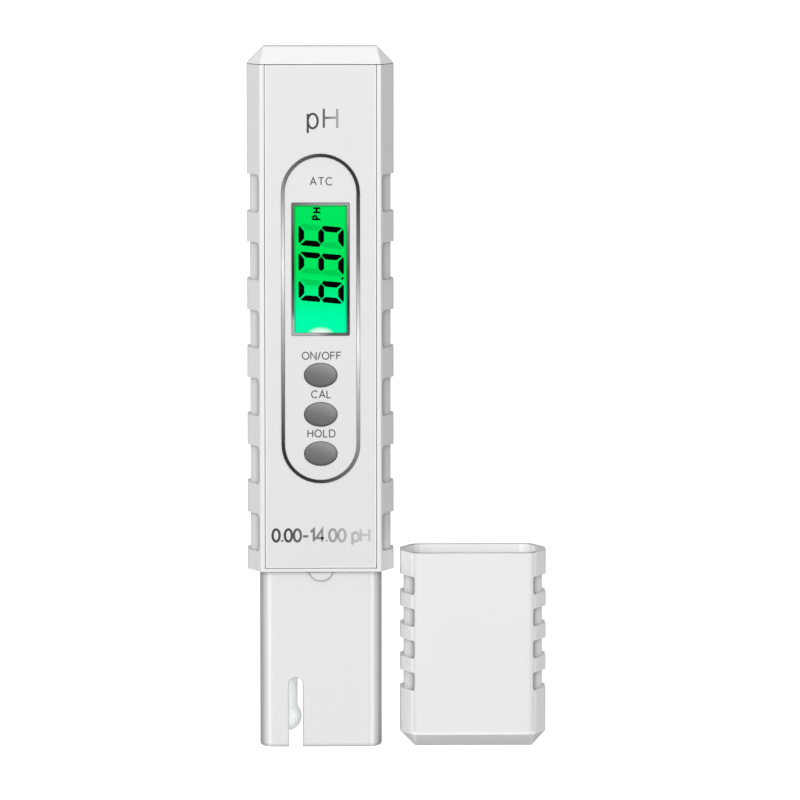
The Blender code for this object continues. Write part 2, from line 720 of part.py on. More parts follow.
def make_display(parent):
    window = rectangle(BEZEL_WIDTH - TRIM_GAP, BEZEL_HEIGHT - TRIM_GAP, FACE_CORNER, (0.0, DISPLAY_Z))
    window_back = FRONT_Y + FACE_THICKNESS + SEAT - TRIM_GAP
    window_solid = extruded(window, bezel_back() + TRIM_GAP, window_back, "Y")
    solid("display_window", window_solid, parent, CLEAR_PLASTIC)
    panel = rectangle(LCD_WIDTH, LCD_HEIGHT, middle=(0.0, DISPLAY_Z))
    solid("lcd_panel", extruded(panel, LCD_FRONT_Y, LCD_BACK_Y, "Y"), parent, GREEN_GLASS)
    pocket = rectangle(LCD_WIDTH + 2 * SEAT, LCD_HEIGHT + 2 * SEAT, middle=(0.0, DISPLAY_Z))
    frame_grow = 2 * SEAT + 2 * HOLDER_WALL
    frame = rectangle(LCD_WIDTH + frame_grow, LCD_HEIGHT + frame_grow, middle=(0.0, DISPLAY_Z))
    floor_y = BOARD_FRONT_Y - SEAT
    holder = solid("lcd_holder", extruded(frame, LCD_FRONT_Y, floor_y, "Y"), parent, BLACK_PLASTIC)
    cut(holder, pocket=extruded(pocket, LCD_FRONT_Y - THROUGH, floor_y + THROUGH, "Y"))
    strip_x = (LCD_WIDTH - STRIP_WIDTH) / 2
    for hand, x in (("left", -strip_x), ("right", strip_x)):
        strip = rectangle(STRIP_WIDTH, LCD_HEIGHT, middle=(x, DISPLAY_Z))
        solid(f"contact_strip_{hand}", extruded(strip, LCD_BACK_Y + SEAT, floor_y, "Y"), parent, BLACK_RUBBER)
    led_width, led_depth, led_height = LED_SIZE
    led_bottom = DISPLAY_Z - LCD_HEIGHT / 2 + SEAT
    led = rectangle(led_width, led_height, middle=(0.0, led_bottom + led_height / 2))
    solid("backlight_led", extruded(led, floor_y - led_depth, floor_y, "Y"), parent, MILKY_PLASTIC)
    guide_bottom, guide_top = led_bottom + led_height + SEAT, DISPLAY_Z + LCD_HEIGHT / 2
    guide = rectangle(
        LCD_WIDTH - 2 * STRIP_WIDTH - 2 * SEAT,
        guide_top - guide_bottom,
        middle=(0.0, (guide_top + guide_bottom) / 2),
    )
    guide_y = LCD_BACK_Y + SEAT
    solid("light_guide", extruded(guide, guide_y, guide_y + GUIDE_THICKNESS, "Y"), parent, MILKY_PLASTIC)


# Circuit board --------------------------------------------------------------------------------------------


def make_board(parent):
    outline = rectangle(BOARD_WIDTH, BOARD_TOP - BOARD_BOTTOM, middle=(0.0, (BOARD_TOP + BOARD_BOTTOM) / 2))
    solid("circuit_board", extruded(outline, BOARD_FRONT_Y, BOARD_BACK_Y, "Y"), parent, GREEN_BOARD)
    rear = BOARD_BACK_Y + SEAT
    arcs = [math.pi / 2 * step / 4 for step in range(5)]
    dome = [(CONTROLLER_RADIUS * math.cos(a), CONTROLLER_RISE * math.sin(a)) for a in arcs]
    blob = turned([(0.0, 0.0), *dome])
    blob.transform(Matrix.Rotation(-math.pi / 2, 4, "X"))
    solid("controller_chip", moved(blob, 0.0, rear, DISPLAY_Z), parent, BLACK_PLASTIC)
    width, height, rise = AMPLIFIER_SIZE
    amplifier = rectangle(width, height, middle=AMPLIFIER_PLACE)
    solid("amplifier_chip", extruded(amplifier, rear, rear + rise, "Y"), parent, BLACK_PLASTIC)
    width, height, rise = CRYSTAL_SIZE
    crystal = rectangle(width, height, CRYSTAL_CORNER, CRYSTAL_PLACE)
    solid("crystal", extruded(crystal, rear, rear + rise, "Y"), parent, STEEL)
    can = across(CAPACITOR_RADIUS, rear, rear + CAPACITOR_LENGTH, *CAPACITOR_PLACE)
    solid("capacitor", can, parent, BLACK_PLASTIC)


def make_buttons(meter):
    """Each button, with its switch plunger, is parented to an empty on its own axis of travel."""
    flange_y = INNER_FRONT_Y + SEAT
    flange_back = flange_y + BUTTON_FLANGE_THICKNESS
    switch_back = BOARD_FRONT_Y - SEAT
    switch_front = switch_back - SWITCH_THICKNESS
    plunger_front = flange_back + SEAT
    plunger_back = switch_back - SWITCH_FLOOR - SEAT - BUTTON_TRAVEL
    radius = BUTTON_WIDTH / 2
    arcs = [math.pi / 2 * step / 4 for step in range(5)]
    dome = [(radius * (1 - 0.25 * (1 - math.cos(a))), -FRONT_Y + BUTTON_PROUD * math.sin(a)) for a in arcs]
    profile = [
        (0.0, -flange_back),
        (radius * BUTTON_FLANGE, -flange_back),
        (radius * BUTTON_FLANGE, -flange_y),
        (radius, -flange_y),
        *dome,
        (0.0, dome[-1][1] + BUTTON_PROUD * 0.1),
    ]
    flatten = Matrix.Scale(BUTTON_HEIGHT / BUTTON_WIDTH, 4, (0, 1, 0))
    for name, z in zip(BUTTON_NAMES, button_heights()):
        axis = empty(f"button_axis_{name}", (0.0, 0.0, z), meter)
        bm = turned(profile)
        bm.transform(flatten)
        solid(f"button_{name}", facing_front(bm), axis, GREY_RUBBER)
        plunger = across(PLUNGER_RADIUS, plunger_front, plunger_back, 0.0, 0.0)
        solid(f"switch_plunger_{name}", plunger, axis, BLACK_PLASTIC)
        outline = rectangle(SWITCH_SIDE, SWITCH_SIDE, FACE_CORNER, (0.0, z))
        switch = solid(f"switch_body_{name}", extruded(outline, switch_front, switch_back, "Y"), meter, STEEL)
        bore_back = switch_back - SWITCH_FLOOR
        cut(switch, bore=across(PLUNGER_RADIUS + SEAT, switch_front - THROUGH, bore_back, 0.0, z))


# Battery compartment --------------------------------------------------------------------------------------


def bay(extra=0.0):
    """Section of what fits inside the housing, moved in further by extra."""
    inset = WALL + PLUG_GAP + extra
    return section(inset, FRONT_WALL + PLUG_GAP + extra)


def cell_places():
    """(number, x, bottom z, which way up) of the four cells, in two columns."""
    return [
        (1 + 2 * column + level, x, CELLS_BOTTOM + level * (CELL_HEIGHT + SEAT), way)
        for column, (x, way) in enumerate(((-CELL_SPACING / 2, 1), (CELL_SPACING / 2, -1)))
        for level in range(2)
    ]


def make_cells(parent):
    narrow = CELL_RADIUS - CELL_STEP
    shoulder = CELL_HEIGHT - CELL_STEP
    profile = [(0.0, 0.0), (CELL_RADIUS, 0.0), (CELL_RADIUS, shoulder)]
    profile += [(narrow, CELL_HEIGHT), (0.0, CELL_HEIGHT)]
    for number, x, bottom, way in cell_places():
        bm = turned(profile)
        if way < 0:
            bm.transform(Matrix.Rotation(math.pi, 4, "X"))
            moved(bm, z=CELL_HEIGHT)
        solid(f"button_cell_{number}", moved(bm, x, INNER_MIDDLE_Y, bottom), parent, STEEL)


def make_tray(parent):
    obj = solid("battery_tray", extruded(bay(), TRAY_BOTTOM, CELLS_TOP), parent, BLACK_PLASTIC)
    post_low, post_high = CELLS_TOP - TRAY_FLOOR, PLUG_BOTTOM + POST_HEIGHT
    posts = [
        box(POST_WIDTH, POST_DEPTH, post_low, post_high, (0.0, INNER_MIDDLE_Y + offset))
        for offset in (-POST_OFFSET, POST_OFFSET)
    ]
    joined(obj, posts=combined(posts))
    columns = (-CELL_SPACING / 2, CELL_SPACING / 2)
    floor = TRAY_BOTTOM + TRAY_FLOOR
    top = CELLS_TOP + THROUGH
    bores = [moved(cylinder(CELL_RADIUS + CELL_GAP, floor, top), x, INNER_MIDDLE_Y) for x in columns]
    windows = [box(TRAY_WINDOW, BODY_DEPTH, floor, top, (x, 0.0)) for x in columns]
    holes = [
        moved(cylinder(CELL_RADIUS * 0.6, TRAY_BOTTOM - THROUGH, floor + THROUGH), x, INNER_MIDDLE_Y)
        for x in columns
    ]
    cut(obj, bores=combined(bores), windows=combined(windows), holes=combined(holes))


def make_battery_cap(parent):
    base = [(x, y, BATTERY_CAP_BOTTOM) for x, y in section()]
    top_width, top_depth = BODY_WIDTH - 2 * TOP_CHAMFER_INSET, BODY_DEPTH - 2 * TOP_CHAMFER_INSET
    top = [(x, y, OVERALL_HEIGHT) for x, y in rectangle(top_width, top_depth)]
    obj = solid("battery_cap", hull_of(base, top), parent, WHITE_PLASTIC)
    joined(obj, plug=extruded(bay(), PLUG_BOTTOM, BATTERY_CAP_BOTTOM + TOP_CHAMFER_HEIGHT / 2))
    pockets = [
        box(
            POST_WIDTH + 2 * SEAT,
            POST_DEPTH + 2 * SEAT,
            PLUG_BOTTOM - THROUGH,
            PLUG_BOTTOM + POST_HEIGHT + SEAT,
            (0.0, INNER_MIDDLE_Y + offset),
        )
        for offset in (-POST_OFFSET, POST_OFFSET)
    ]
    seal_bottom = PLUG_BOTTOM + SEAL_ABOVE_PLUG
    cut(
        obj,
        pockets=combined(pockets),
        groove=ringed(section(), bay(SEAL_DEPTH), seal_bottom, seal_bottom + SEAL_HEIGHT + 2 * SEAL_GAP),
    )
    outer = section(WALL + SEAL_GAP, FRONT_WALL + SEAL_GAP)
    seal_low = seal_bottom + SEAL_GAP
    seal = ringed(outer, bay(SEAL_DEPTH - SEAL_GAP), seal_low, seal_low + SEAL_HEIGHT)
    solid("battery_cap_seal", seal, parent, BLACK_RUBBER)
    link = rectangle(CELL_SPACING + CELL_RADIUS, CELL_RADIUS, FACE_CORNER, (0.0, INNER_MIDDLE_Y))
    solid("cell_link", extruded(link, LINK_BOTTOM, LINK_BOTTOM + LINK_THICKNESS), parent, BRASS)


def make_contacts(parent):
    plate = extruded(bay(), CONTACT_PLATE_BOTTOM, CONTACT_PLATE_TOP)
    solid("contact_plate", plate, parent, BLACK_PLASTIC)
    reach = CELL_RADIUS * 0.45
    low = CONTACT_PLATE_TOP + SEAT + CONTACT_THICKNESS / 2
    high = CELLS_BOTTOM - SEAT - CONTACT_THICKNESS
    front, back = INNER_MIDDLE_Y - CONTACT_WIDTH / 2, INNER_MIDDLE_Y + CONTACT_WIDTH / 2
    for name, x in (("positive", -CELL_SPACING / 2), ("negative", CELL_SPACING / 2)):
        line = [(x + reach, low), (x - reach, low), (x + reach * 0.7, high)]
        leaf = extruded(strip_outline(line, CONTACT_THICKNESS), front, back, "Y")
        solid(f"contact_spring_{name}", leaf, parent, BRASS)


# Leads inside the housing ---------------------------------------------------------------------------------


def lead(name, route, radius, parent, finish):
    """Insulated wire along a smooth curve through the points of its route."""
    points = smooth_line([Vector(point) for point in route], spacing=2.5 * radius)
    curve = bpy.data.curves.new(name, "CURVE")
    curve.dimensions = "3D"
    curve.bevel_depth = radius
    curve.bevel_resolution = 2
    curve.use_fill_caps = True
    spline = curve.splines.new("POLY")
    spline.points.add(len(points) - 1)
    for place, point in zip(spline.points, points):
        place.co = (*point, 1.0)
    obj = bpy.data.objects.new(name, curve)
    obj.parent = parent
    bpy.context.scene.collection.objects.link(obj)
    painted(obj, finish)


def smooth_line(points, spacing):
    """Catmull-Rom line through the points, sampled about every spacing."""
    padded = [2 * points[0] - points[1], *points, 2 * points[-1] - points[-2]]
    line = []
    for before, start, end, after in zip(padded, padded[1:], padded[2:], padded[3:]):
        steps = max(2, round((end - start).length / spacing))
        for step in range(steps):
            t = step / steps
            line.append(
                0.5
                * (
                    2 * start
                    + (end - before) * t
                    + (2 * before - 5 * start + 4 * end - after) * t**2
                    + (3 * start - before - 3 * end + after) * t**3
                )
            )
    return line + [points[-1]]


def make_leads(parent):
    rear = BOARD_BACK_Y + SEAT + SIGNAL_LEAD_RADIUS
    top = WIRE_TOP + 2 * SEAT
    end = BOARD_BOTTOM + LEAD_OVERLAP
    for name, x, x_end, radius, finish in (
        ("signal_lead", ELECTRODE_X, ELECTRODE_X * 0.6, SIGNAL_LEAD_RADIUS, WHITE_INSULATION),
        ("reference_lead", REFERENCE_X, REFERENCE_X, LEAD_RADIUS, BLACK_INSULATION),
        ("thermistor_lead", TEMPERATURE_X, TEMPERATURE_X * 0.6, LEAD_RADIUS, RED_INSULATION),
    ):
        bend = top + (BOARD_BOTTOM - top) / 3
        x_bend = 0.25 * x + 0.75 * x_end  # clear of the lower screw bosses
        route = [(x, 0.0, top), (x, 0.0, top + radius), (x_bend, rear * 0.7, bend), (x_end, rear, end)]
        lead(name, route, radius, parent, finish)
    for name, side, finish in (("positive", -1, RED_INSULATION), ("negative", 1, BLACK_INSULATION)):
        x = side * CELL_SPACING / 2
        start = CONTACT_PLATE_BOTTOM - SEAT
        route = [
            (x, INNER_MIDDLE_Y, start),
            (x, INNER_MIDDLE_Y, start - 2 * LEAD_RADIUS),
            (x * 0.8, rear * 0.8, (start + BOARD_TOP) / 2 - LEAD_RADIUS),
            (x * 0.7, rear, BOARD_TOP - LEAD_OVERLAP),
        ]
        lead(f"battery_lead_{name}", route, LEAD_RADIUS, parent, finish)


# Probe ----------------------------------------------------------------------------------------------------


def sleeve_outline(grow=0.0):
    return rectangle(SLEEVE_WIDTH + 2 * grow, SLEEVE_DEPTH + 2 * grow, SLEEVE_CORNER + grow)


def neck_outline(grow=0.0):
    """The neck joins the sleeve to the housing."""
    return rectangle(NECK_WIDTH + 2 * grow, NECK_DEPTH + 2 * grow, NECK_CORNER + grow)


def slot_cutter():
    """Open-ended slot through the front and the rear of the sleeve, with a round top."""
    radius = SLOT_WIDTH / 2
    turns = [math.pi * step / 12 for step in range(13)]
    arch = [(SLOT_X + radius * math.cos(a), SLOT_HEIGHT - radius + radius * math.sin(a)) for a in turns]
    outline = [(SLOT_X + radius, -THROUGH), *arch, (SLOT_X - radius, -THROUGH)]
    return extruded(outline, -SLEEVE_DEPTH, SLEEVE_DEPTH, "Y")


def pip_outline(radius, centre_z, top_z):
    """Part of a disc that lies below top_z, as (x, z)."""
    half = math.asin((centre_z - top_z) / radius)
    turns = [math.pi + half + (math.pi - 2 * half) * step / 12 for step in range(13)]
    return [(radius * math.cos(a), centre_z + radius * math.sin(a)) for a in turns]


def make_sleeve(parent):
    body = extruded(sleeve_outline(), 0.0, SLEEVE_SHOULDER)
    foot = [edge for edge in body.edges if all(vert.co.z < TINY for vert in edge.verts)]
    bmesh.ops.bevel(body, geom=foot, offset=SLEEVE_FOOT_BEVEL, segments=2, profile=0.5, affect="EDGES")
    obj = solid("probe_sleeve", body, parent, WHITE_PLASTIC)
    pip = pip_outline(PIP_RADIUS, HOUSING_BOTTOM + PIP_ABOVE, SLEEVE_SHOULDER)
    flange_top = FLANGE_BOTTOM + FLANGE_HEIGHT
    joined(
        obj,
        neck=extruded(neck_outline(), SLEEVE_SHOULDER - SLEEVE_WALL / 2, SLEEVE_TOP),
        flange=extruded(neck_outline(NECK_FLANGE), FLANGE_BOTTOM, flange_top),
        pip=extruded(pip, -SLEEVE_DEPTH / 2 - PIP_RISE, -SLEEVE_DEPTH / 2 + SLEEVE_WALL / 2, "Y"),
    )
    cut(
        obj,
        bore=extruded(sleeve_outline(-SLEEVE_WALL), -THROUGH, SLEEVE_SHOULDER - SLEEVE_WALL),
        neck_bore=extruded(neck_outline(-NECK_WALL), 0.0, SLEEVE_TOP + THROUGH),
        slot=slot_cutter(),
    )
    seal = ringed(
        neck_outline(NECK_FLANGE),
        neck_outline(SEAL_GAP),
        flange_top + SEAL_GAP,
        flange_top + SEAL_GAP + SEAL_HEIGHT,
    )
    solid("sleeve_seal", seal, parent, BLACK_RUBBER)


def make_sensor_holder(parent):
    block = extruded(neck_outline(-NECK_WALL - SEAT), SENSOR_HOLDER_BOTTOM, HOLDER_TOP)
    obj = solid("sensor_holder", block, parent, EPOXY)
    joined(obj, flange=extruded(neck_outline(), HOLDER_FLANGE_BOTTOM, HOLDER_TOP))
    bottom, top = SENSOR_HOLDER_BOTTOM - THROUGH, HOLDER_TOP + THROUGH
    chamber = SENSOR_HOLDER_BOTTOM + JUNCTION_LENGTH - JUNCTION_PROUD + SEAT
    cut(
        obj,
        electrode_bore=moved(cylinder(STEM_RADIUS + SEAT, bottom, top), ELECTRODE_X),
        temperature_bore=moved(cylinder(TEMPERATURE_RADIUS + SEAT, bottom, top), TEMPERATURE_X),
        junction_bore=moved(cylinder(JUNCTION_RADIUS + SEAT, bottom, chamber + THROUGH), REFERENCE_X),
        chamber=moved(cylinder(REFERENCE_BORE, chamber, top), REFERENCE_X),
    )


def bulb_profile():
    """Glass stem that opens into a thin bulb, as a closed wall of (radius, z) points."""
    steps = 8

    def arc(radius, neck):
        start = math.pi - math.asin(neck / radius)
        turns = [start * step / steps for step in range(steps + 1)]
        return [(radius * math.sin(a), BULB_Z - radius * math.cos(a)) for a in turns]

    inner_neck = STEM_RADIUS - STEM_WALL
    outer = arc(BULB_RADIUS, STEM_RADIUS)
    inner = arc(BULB_RADIUS - BULB_WALL, inner_neck)
    return outer + [(STEM_RADIUS, HOLDER_TOP), (inner_neck, HOLDER_TOP)] + inner[::-1]


def make_sensors(parent):
    electrode = turned(bulb_profile())
    solid("glass_electrode", moved(electrode, ELECTRODE_X), parent, CLEAR_GLASS)
    plug_bottom = HOLDER_TOP - PLUG_HEIGHT
    wire_hole = WIRE_RADIUS + SEAT
    stem_bore = STEM_RADIUS - STEM_WALL
    wires = (
        ("electrode", ELECTRODE_X, stem_bore, BULB_Z - BULB_RADIUS / 3),
        ("reference", REFERENCE_X, REFERENCE_BORE, SENSOR_HOLDER_BOTTOM + JUNCTION_LENGTH),
    )
    for name, x, bore, wire_bottom in wires:
        plug = moved(tube(bore - SEAL_GAP, wire_hole, plug_bottom, HOLDER_TOP, ROUND_STEPS // 2), x)
        solid(f"{name}_plug", plug, parent, BLACK_RUBBER)
        wire = moved(cylinder(WIRE_RADIUS, wire_bottom, WIRE_TOP, ROUND_STEPS // 2), x)
        solid(f"{name}_wire", wire, parent, SILVER)
    junction_bottom = SENSOR_HOLDER_BOTTOM - JUNCTION_PROUD
    junction = cylinder(JUNCTION_RADIUS, junction_bottom, junction_bottom + JUNCTION_LENGTH, ROUND_STEPS // 2)
    solid("reference_junction", moved(junction, REFERENCE_X), parent, CERAMIC)
    make_temperature_probe(parent)


def make_temperature_probe(parent):
    steps = 5
    turns = [math.pi / 2 * step / steps for step in range(steps + 1)]
    bore = TEMPERATURE_RADIUS - TEMPERATURE_WALL
    centre = TEMPERATURE_BOTTOM + TEMPERATURE_RADIUS
    outer = [(TEMPERATURE_RADIUS * math.sin(a), centre - TEMPERATURE_RADIUS * math.cos(a)) for a in turns]
    inner = [(bore * math.sin(a), centre - bore * math.cos(a)) for a in turns]
    profile = outer + [(TEMPERATURE_RADIUS, HOLDER_TOP), (bore, HOLDER_TOP)] + inner[::-1]
    solid("temperature_probe", moved(turned(profile), TEMPERATURE_X), parent, STEEL)
    bead_turns = [math.pi * step / steps for step in range(steps + 1)]
    bead = turned([(BEAD_RADIUS * math.sin(a), -BEAD_RADIUS * math.cos(a)) for a in bead_turns], steps=12)
    solid("thermistor_bead", moved(bead, TEMPERATURE_X, 0.0, centre), parent, EPOXY)


# Protective cap -------------------------------------------------------------------------------------------


def make_cap(parent):
    outline = section(edge_radius=CAP_EDGE_RADIUS)
    foot_width, foot_depth = BODY_WIDTH - 2 * CAP_CHAMFER_INSET, BODY_DEPTH - 2 * CAP_CHAMFER_INSET
    foot = [(x, y, 0.0) for x, y in rectangle(foot_width, foot_depth)]
    loops = [[(x, y, z) for x, y in outline] for z in (CAP_CHAMFER_HEIGHT, CAP_HEIGHT)]
    obj = solid("cap_shell", hull_of(foot, *loops), parent, WHITE_PLASTIC)
    pip_centre = HOUSING_BOTTOM + PIP_ABOVE + CAP_SEATED_DROP
    relief = ellipse(2 * (PIP_RADIUS + SEAT), 2 * (PIP_RADIUS + SEAT), (0.0, pip_centre))
    inner_front = -SLEEVE_DEPTH / 2 - CAP_FIT
    cut(
        obj,
        cavity=extruded(sleeve_outline(CAP_FIT), CAP_FLOOR, CAP_HEIGHT + THROUGH),
        relief=extruded(relief, inner_front - PIP_RISE, 0.0, "Y"),
        notches=notch_cutters(
            CAP_NOTCH_COUNT,
            CAP_NOTCH_PITCH,
            CAP_NOTCH_HEIGHT,
            CAP_NOTCH_LOWEST,
            CAP_NOTCH_DEPTH,
            CAP_EDGE_RADIUS,
        ),
    )
    sponge_bottom = CAP_FLOOR + SEAT
    sponge = extruded(sleeve_outline(), sponge_bottom, sponge_bottom + SPONGE_THICKNESS)
    solid("cap_sponge", sponge, parent, SPONGE)


def main():
    for obj in list(bpy.data.objects):
        bpy.data.objects.remove(obj, do_unlink=True)
    meter = empty("meter_axis", (-CAP_SPACING / 2, 0.0, 0.0))
    cap = empty("cap_axis", (CAP_SPACING / 2, 0.0, 0.0))
    battery = empty("battery_axis", (0.0, 0.0, 0.0), meter)
    make_front_shell(meter)
    make_rear_shell(meter)
    make_screws(meter)
    make_faceplate(meter)
    make_trim(meter)
    make_display(meter)
    make_board(meter)
    make_buttons(meter)
    make_battery_cap(battery)
    make_tray(battery)
    make_cells(battery)
    make_contacts(meter)
    make_leads(meter)
    make_sleeve(meter)
    make_sensor_holder(meter)
    make_sensors(meter)
    make_cap(cap)


main()
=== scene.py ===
import math

import bmesh
import bpy
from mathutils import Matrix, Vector


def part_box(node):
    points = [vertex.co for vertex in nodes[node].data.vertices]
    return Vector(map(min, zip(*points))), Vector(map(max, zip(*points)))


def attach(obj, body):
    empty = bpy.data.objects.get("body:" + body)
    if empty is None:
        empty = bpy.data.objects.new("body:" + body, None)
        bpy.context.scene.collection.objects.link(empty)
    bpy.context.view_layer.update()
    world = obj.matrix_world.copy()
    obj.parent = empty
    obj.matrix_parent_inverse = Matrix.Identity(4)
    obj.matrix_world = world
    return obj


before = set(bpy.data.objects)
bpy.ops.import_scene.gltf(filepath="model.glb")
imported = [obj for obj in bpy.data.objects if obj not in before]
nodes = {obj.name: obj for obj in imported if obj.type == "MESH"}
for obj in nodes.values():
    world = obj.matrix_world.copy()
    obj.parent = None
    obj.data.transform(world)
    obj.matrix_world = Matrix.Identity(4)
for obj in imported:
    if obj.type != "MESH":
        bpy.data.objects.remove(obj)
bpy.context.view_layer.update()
mm = 0.001

# The meter stands on the left, its cap on the right. The front faces -Y.
faceLow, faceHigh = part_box("faceplate")
meterX = (faceLow[0] + faceHigh[0]) / 2
faceY = faceLow[1]  # front of the faceplate


class Wire:
    # A shader socket that can be added, multiplied and compared like a number
    def __init__(self, socket):
        self.socket = socket

    def make(self, kind, settings=None, values=None, output=0, stops=None):
        tree = self.socket.id_data
        node = tree.nodes.new(kind)
        for name, setting in (settings or {}).items():
            setattr(node, name, setting)
        if stops:
            setStops(node.color_ramp, stops)
        for place, value in (values or {}).items():
            if isinstance(value, Wire):
                tree.links.new(value.socket, node.inputs[place])
            else:
                node.inputs[place].default_value = value
        return Wire(node.outputs[output])

    def maths(self, operation, first, second):
        return self.make("ShaderNodeMath", {"operation": operation}, {0: first, 1: second})

    def __add__(self, other):
        return self.maths("ADD", self, other)

    def __radd__(self, other):
        return self.maths("ADD", other, self)

    def __sub__(self, other):
        return self.maths("SUBTRACT", self, other)

    def __rsub__(self, other):
        return self.maths("SUBTRACT", other, self)

    def __mul__(self, other):
        return self.maths("MULTIPLY", self, other)

    def __rmul__(self, other):
        return self.maths("MULTIPLY", other, self)

    def __abs__(self):
        return self.make("ShaderNodeMath", {"operation": "ABSOLUTE"}, {0: self})

    def root(self):
        return self.make("ShaderNodeMath", {"operation": "SQRT"}, {0: self})

    def least(self, other):
        return self.maths("MINIMUM", self, other)

    def most(self, other):
        return self.maths("MAXIMUM", self, other)

    def part(self, axis):
        return self.make("ShaderNodeSeparateXYZ", values={0: self}, output=axis)

    def spread(self, low, high, fromLow=0.0, fromHigh=1.0):
        # runs from low to high as the wire runs over its own range, and stops there
        places = {
            "Value": self,
            "From Min": fromLow,
            "From Max": fromHigh,
            "To Min": low,
            "To Max": high,
        }
        return self.make("ShaderNodeMapRange", {"clamp": True}, places)

    def mix(self, first, second):
        # colour between two others, with the wire as the mask
        return self.make("ShaderNodeMix", {"data_type": "RGBA"}, {0: self, 6: first, 7: second}, output=2)

    def shade(self, colour):
        # a colour made darker or lighter by the wire
        return self.make("ShaderNodeVectorMath", {"operation": "SCALE"}, {0: colour, "Scale": self})

    def noise(self, size, detail=3.0):
        # size is that of one blotch, in metres
        places = {"Vector": self, "Scale": 1.0 / size, "Detail": detail, "Roughness": 0.5}
        return self.make("ShaderNodeTexNoise", values=places)

    def ramp(self, stops):
        return self.make("ShaderNodeValToRGB", values={0: self}, stops=stops)

    def bump(self, depth):
        return self.make("ShaderNodeBump", values={"Height": self, "Distance": depth, "Strength": 1.0})


def setStops(ramp, stops):
    # stops are pairs of place and colour, from 0 to 1 along the ramp
    while len(ramp.elements) < len(stops):
        ramp.elements.new(1.0)
    for element, (place, colour) in zip(ramp.elements, stops):
        element.position = place
        element.color = rgba(colour)


def rgba(colour):
    if isinstance(colour, (int, float)):
        colour = (colour, colour, colour)
    return (*colour[:3], 1.0)


def newMaterial(name, **fixed):
    # returns the material, its shader and the place on the object, in metres
    material = bpy.data.materials.new(name)
    material.use_nodes = True
    tree = material.node_tree
    shader = tree.nodes["Principled BSDF"]
    for socket, value in fixed.items():
        shader.inputs[socket.replace("_", " ")].default_value = value
    return material, shader, Wire(tree.nodes.new("ShaderNodeTexCoord").outputs["Object"])


def feed(shader, **wires):
    # the socket's name, with its spaces as underlines, and what feeds it
    for socket, wire in wires.items():
        shader.id_data.links.new(wire.socket, shader.inputs[socket.replace("_", " ")])


# Plain finishes: colour, roughness, metallic, size and depth of the grain, how far colour and roughness
# wander (tint and haze), the clear coat, and how much painted shade darkens the creases near the next wall
finishes = dict(
    whitePlastic=dict(
        colour=0.80, rough=0.34, grain=0.35 * mm, depth=0.004 * mm, tint=0.02, haze=0.08,
        coat=0.12, creaseShade=0.42,
    ),
    blackPlastic=dict(colour=0.022, rough=0.45, grain=0.15 * mm, depth=0.008 * mm, tint=0.2, haze=0.10),
    blackRubber=dict(colour=0.018, rough=0.75, grain=0.10 * mm, depth=0.010 * mm, tint=0.3, haze=0.10),
    milkyPlastic=dict(
        colour=(0.55, 0.85, 0.65),
        rough=0.28, grain=0.5 * mm, depth=0.004 * mm, tint=0.05, haze=0.08,
    ),
    steel=dict(
        colour=(0.60, 0.60, 0.61), metal=1.0,
        rough=0.24, grain=0.08 * mm, depth=0.003 * mm, tint=0.10, haze=0.16,
    ),
    brass=dict(
        colour=(0.78, 0.58, 0.28), metal=1.0,
        rough=0.30, grain=0.10 * mm, depth=0.003 * mm, tint=0.12, haze=0.16,
    ),
    silver=dict(
        colour=(0.80, 0.79, 0.76), metal=1.0,
        rough=0.28, grain=0.08 * mm, depth=0.002 * mm, tint=0.10, haze=0.14,
    ),
    ceramic=dict(
        colour=(0.80, 0.78, 0.72),
        rough=0.80, grain=0.06 * mm, depth=0.015 * mm, tint=0.08, haze=0.08,
    ),
    epoxy=dict(
        colour=(0.66, 0.66, 0.63), coat=0.3,
        rough=0.30, grain=0.8 * mm, depth=0.010 * mm, tint=0.05, haze=0.10,
    ),
    redSleeving=dict(
        colour=(0.52, 0.025, 0.02),
        rough=0.38, grain=0.2 * mm, depth=0.004 * mm, tint=0.10, haze=0.08,
    ),
    blackSleeving=dict(colour=0.02, rough=0.38, grain=0.2 * mm, depth=0.004 * mm, tint=0.10, haze=0.08),
    whiteSleeving=dict(colour=0.70, rough=0.38, grain=0.2 * mm, depth=0.004 * mm, tint=0.04, haze=0.08),
)
# how far the painted crease shade reaches
creaseShadeReach = 1.4 * mm
patchSize = 9 * mm  # of the wide patches in which colour and roughness wander


def paintCreaseShade(place, colour, depth):
    # the colour with painted shade, darker by depth where another wall of the same piece is close
    settings = {"samples": 8, "only_local": True}
    clear = place.make("ShaderNodeAmbientOcclusion", settings, {"Distance": creaseShadeReach}, output="AO")
    return clear.spread(1.0 - depth, 1.0, 0.35, 0.95).shade(colour)


def grained(name, colour, rough, grain, depth, tint, haze, metal=0.0, coat=0.0, creaseShade=0.0, paintedLightAndShade=None):
    # the last argument paints light and shade into the colour, from the place on the object
    material, shader, place = newMaterial(name, Metallic=metal, Coat_Weight=coat, Coat_Roughness=0.15)
    patches = place.noise(patchSize, detail=2.0)
    fine = place.noise(grain, detail=2.0)
    darker = [channel * (1.0 - tint) for channel in rgba(colour)[:3]]
    base = patches.mix(rgba(darker), rgba(colour))
    if paintedLightAndShade:
        base = paintedLightAndShade(place).shade(base)
    feed(
        shader,
        # painted shade in the creases, when a depth for it is given
        Base_Color=paintCreaseShade(place, base, creaseShade) if creaseShade else base,
        Roughness=rough + haze * (patches + fine - 1.0),
        Normal=fine.bump(depth),
    )
    return material


# grip notches: painted shade darkens their floors, most just behind the front edge; both bodies share one
# section the painted shade begins under the skin and ends past the floor, so outer faces and inner walls
# stay as they are
notches = dict(
    facetWidth=2.8 * mm,
    facetDepth=5.6 * mm,
    shade=0.60,
    start=1.9 * mm,
    end=3.8 * mm,
    skin=(0.30 * mm, 0.45 * mm),
    floor=(1.1 * mm, 1.3 * mm),
)
